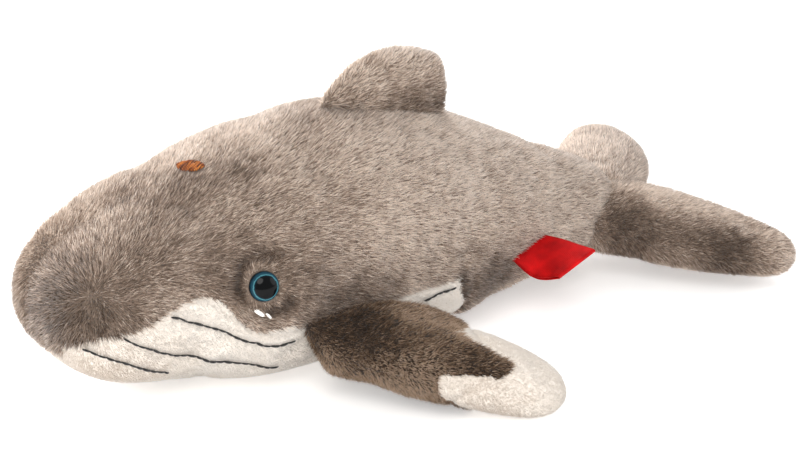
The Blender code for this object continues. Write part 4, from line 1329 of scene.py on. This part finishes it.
def makeGlints():
    for side in sides:
        for bar in (1, 2):
            node = f"{side}_eye_glint_{bar}"
            points = meshArrays(nodeMeshes[node])
            axes = np.linalg.svd(points - points.mean(axis=0))[2]
            line = Vector(axes[0])
            span = np.ptp(points @ axes[0]) / 2
            centre = Vector(points.mean(axis=0)) + Vector(stitching["glintShift"][bar - 1])
            _, normal = onSkin(centre, 0)
            across = line.cross(normal).normalized()
            count = stitching["glintStitches"][bar - 1]
            bm = bmesh.new()
            for k in range(count):
                offCentre = k - (count - 1) / 2
                middle = centre + across * offCentre * stitching["glintGap"]
                reach = line * span * (1 - 0.12 * abs(offCentre))
                start, _ = onSkin(middle - reach, stitching["glintLift"])
                end, _ = onSkin(middle + reach, stitching["glintLift"])
                addStitch(bm, start, end, stitching["glintRadius"], normal)
            finishEmbroidery(bm, node + "_stitches", node, "white")


makeThroatLines()
makeBlowhole()
makeGlints()
print("whale: embroidery made")

seed = 100
for body, form in forms.items():
    for number, panel in enumerate(form["panels"]):
        seed += 1
        growFur(panel, body, form, number, seed)
print("whale: fur laid")


# Side label

labelShape = {
    "width": 19.5 * mm,
    "length": 21.5 * mm,
    "inside": 2.5 * mm,
    "bendLength": 5 * mm,
    "seamShift": 2.4 * mm,
    "seamLine": (0.935, 0.228, 0.273),
    "freeLine": (0.905, 0.046, 0.420),
    "heading": (0.478, -0.874, -0.077),
    "ply": 0.5 * mm,
    "dip": 3.4 * mm,
    "curl": 0.8 * mm,
    "rows": 20,
    "columns": 14,
    "foldRadius": 0.8 * mm,
}


def ribbonMaterial():
    # Woven ribbon: fine crossing ribs, nearly without gloss.
    material, tree, shader = startMaterial("redRibbon", {"Roughness": 0.6, "Specular IOR Level": 0.1})
    place = addNode(tree, "TexCoord").outputs["Object"]
    ribs = addNode(tree, "TexWave", [("Scale", 700)], bands_direction="Y")
    cross = addNode(tree, "TexWave", [("Scale", 500)], bands_direction="X")
    add = addNode(tree, "Math", operation="ADD")
    shade = addNode(tree, "TexNoise", [("Scale", 160)])
    ramp = addRamp(tree, [(0.3, srgb(152, 4, 8)), (0.75, srgb(206, 14, 16))])
    bump = addNode(tree, "Bump", [("Distance", 0.00012), ("Strength", 0.5)])
    linkAll(tree, (place, ribs.inputs["Vector"]), (place, cross.inputs["Vector"]),
            (place, shade.inputs["Vector"]), (ribs.outputs["Fac"], add.inputs[0]),
            (cross.outputs["Fac"], add.inputs[1]), (shade.outputs["Fac"], ramp.inputs["Fac"]),
            (ramp.outputs["Color"], shader.inputs["Base Color"]),
            (add.outputs[0], bump.inputs["Height"]),
            (bump.outputs["Normal"], shader.inputs["Normal"]))
    return material


def makeLabel():
    seamLine, freeLine = Vector(labelShape["seamLine"]), Vector(labelShape["freeLine"])
    heading = Vector(labelShape["heading"])
    start = Vector(jointPlaces["side_label"]["pos_m"]) + seamLine * labelShape["seamShift"]
    straight = labelShape["length"] - labelShape["foldRadius"]
    inside, fold = labelShape["inside"], labelShape["foldRadius"]
    rows = labelShape["rows"]
    outs = [-inside + (straight + inside) * k / rows for k in range(rows + 1)]
    path = [(out, fold) for out in outs]
    for k in range(1, 8):
        angle = math.pi * k / 8
        path.append((straight + fold * math.sin(angle), fold * math.cos(angle)))
    path += [(out, -fold) for out in reversed(outs)]
    bm = bmesh.new()
    grid = []
    for out, height in path:
        share = max(out, 0) / straight
        line = seamLine.lerp(freeLine, share).normalized()
        third = heading.cross(line).normalized()
        dip = labelShape["dip"] * math.sin(math.pi * min(share, 1))
        curl = labelShape["curl"] * math.sin(math.tau * share * 0.8)
        row = []
        for j in range(labelShape["columns"] + 1):
            width = j / labelShape["columns"] - 0.5
            place = start + heading * out + line * width * labelShape["width"]
            place += third * (height * (0.5 + 0.5 * min(share, 1)) + curl * width)
            place.z -= dip * (0.5 - width) ** 2
            row.append(bm.verts.new(place))
        grid.append(row)
    for lower, upper in zip(grid, grid[1:]):
        for j in range(labelShape["columns"]):
            bm.faces.new((lower[j], lower[j + 1], upper[j + 1], upper[j])).smooth = True
    mesh = withModifier(meshOf(bm, "side_label_ribbon"), "SOLIDIFY", thickness=labelShape["ply"],
                        offset=0)
    piece = addObject("side_label_ribbon", mesh, ribbonMaterial())
    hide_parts("side_label")
    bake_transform(piece)


makeLabel()
print("whale: label made")
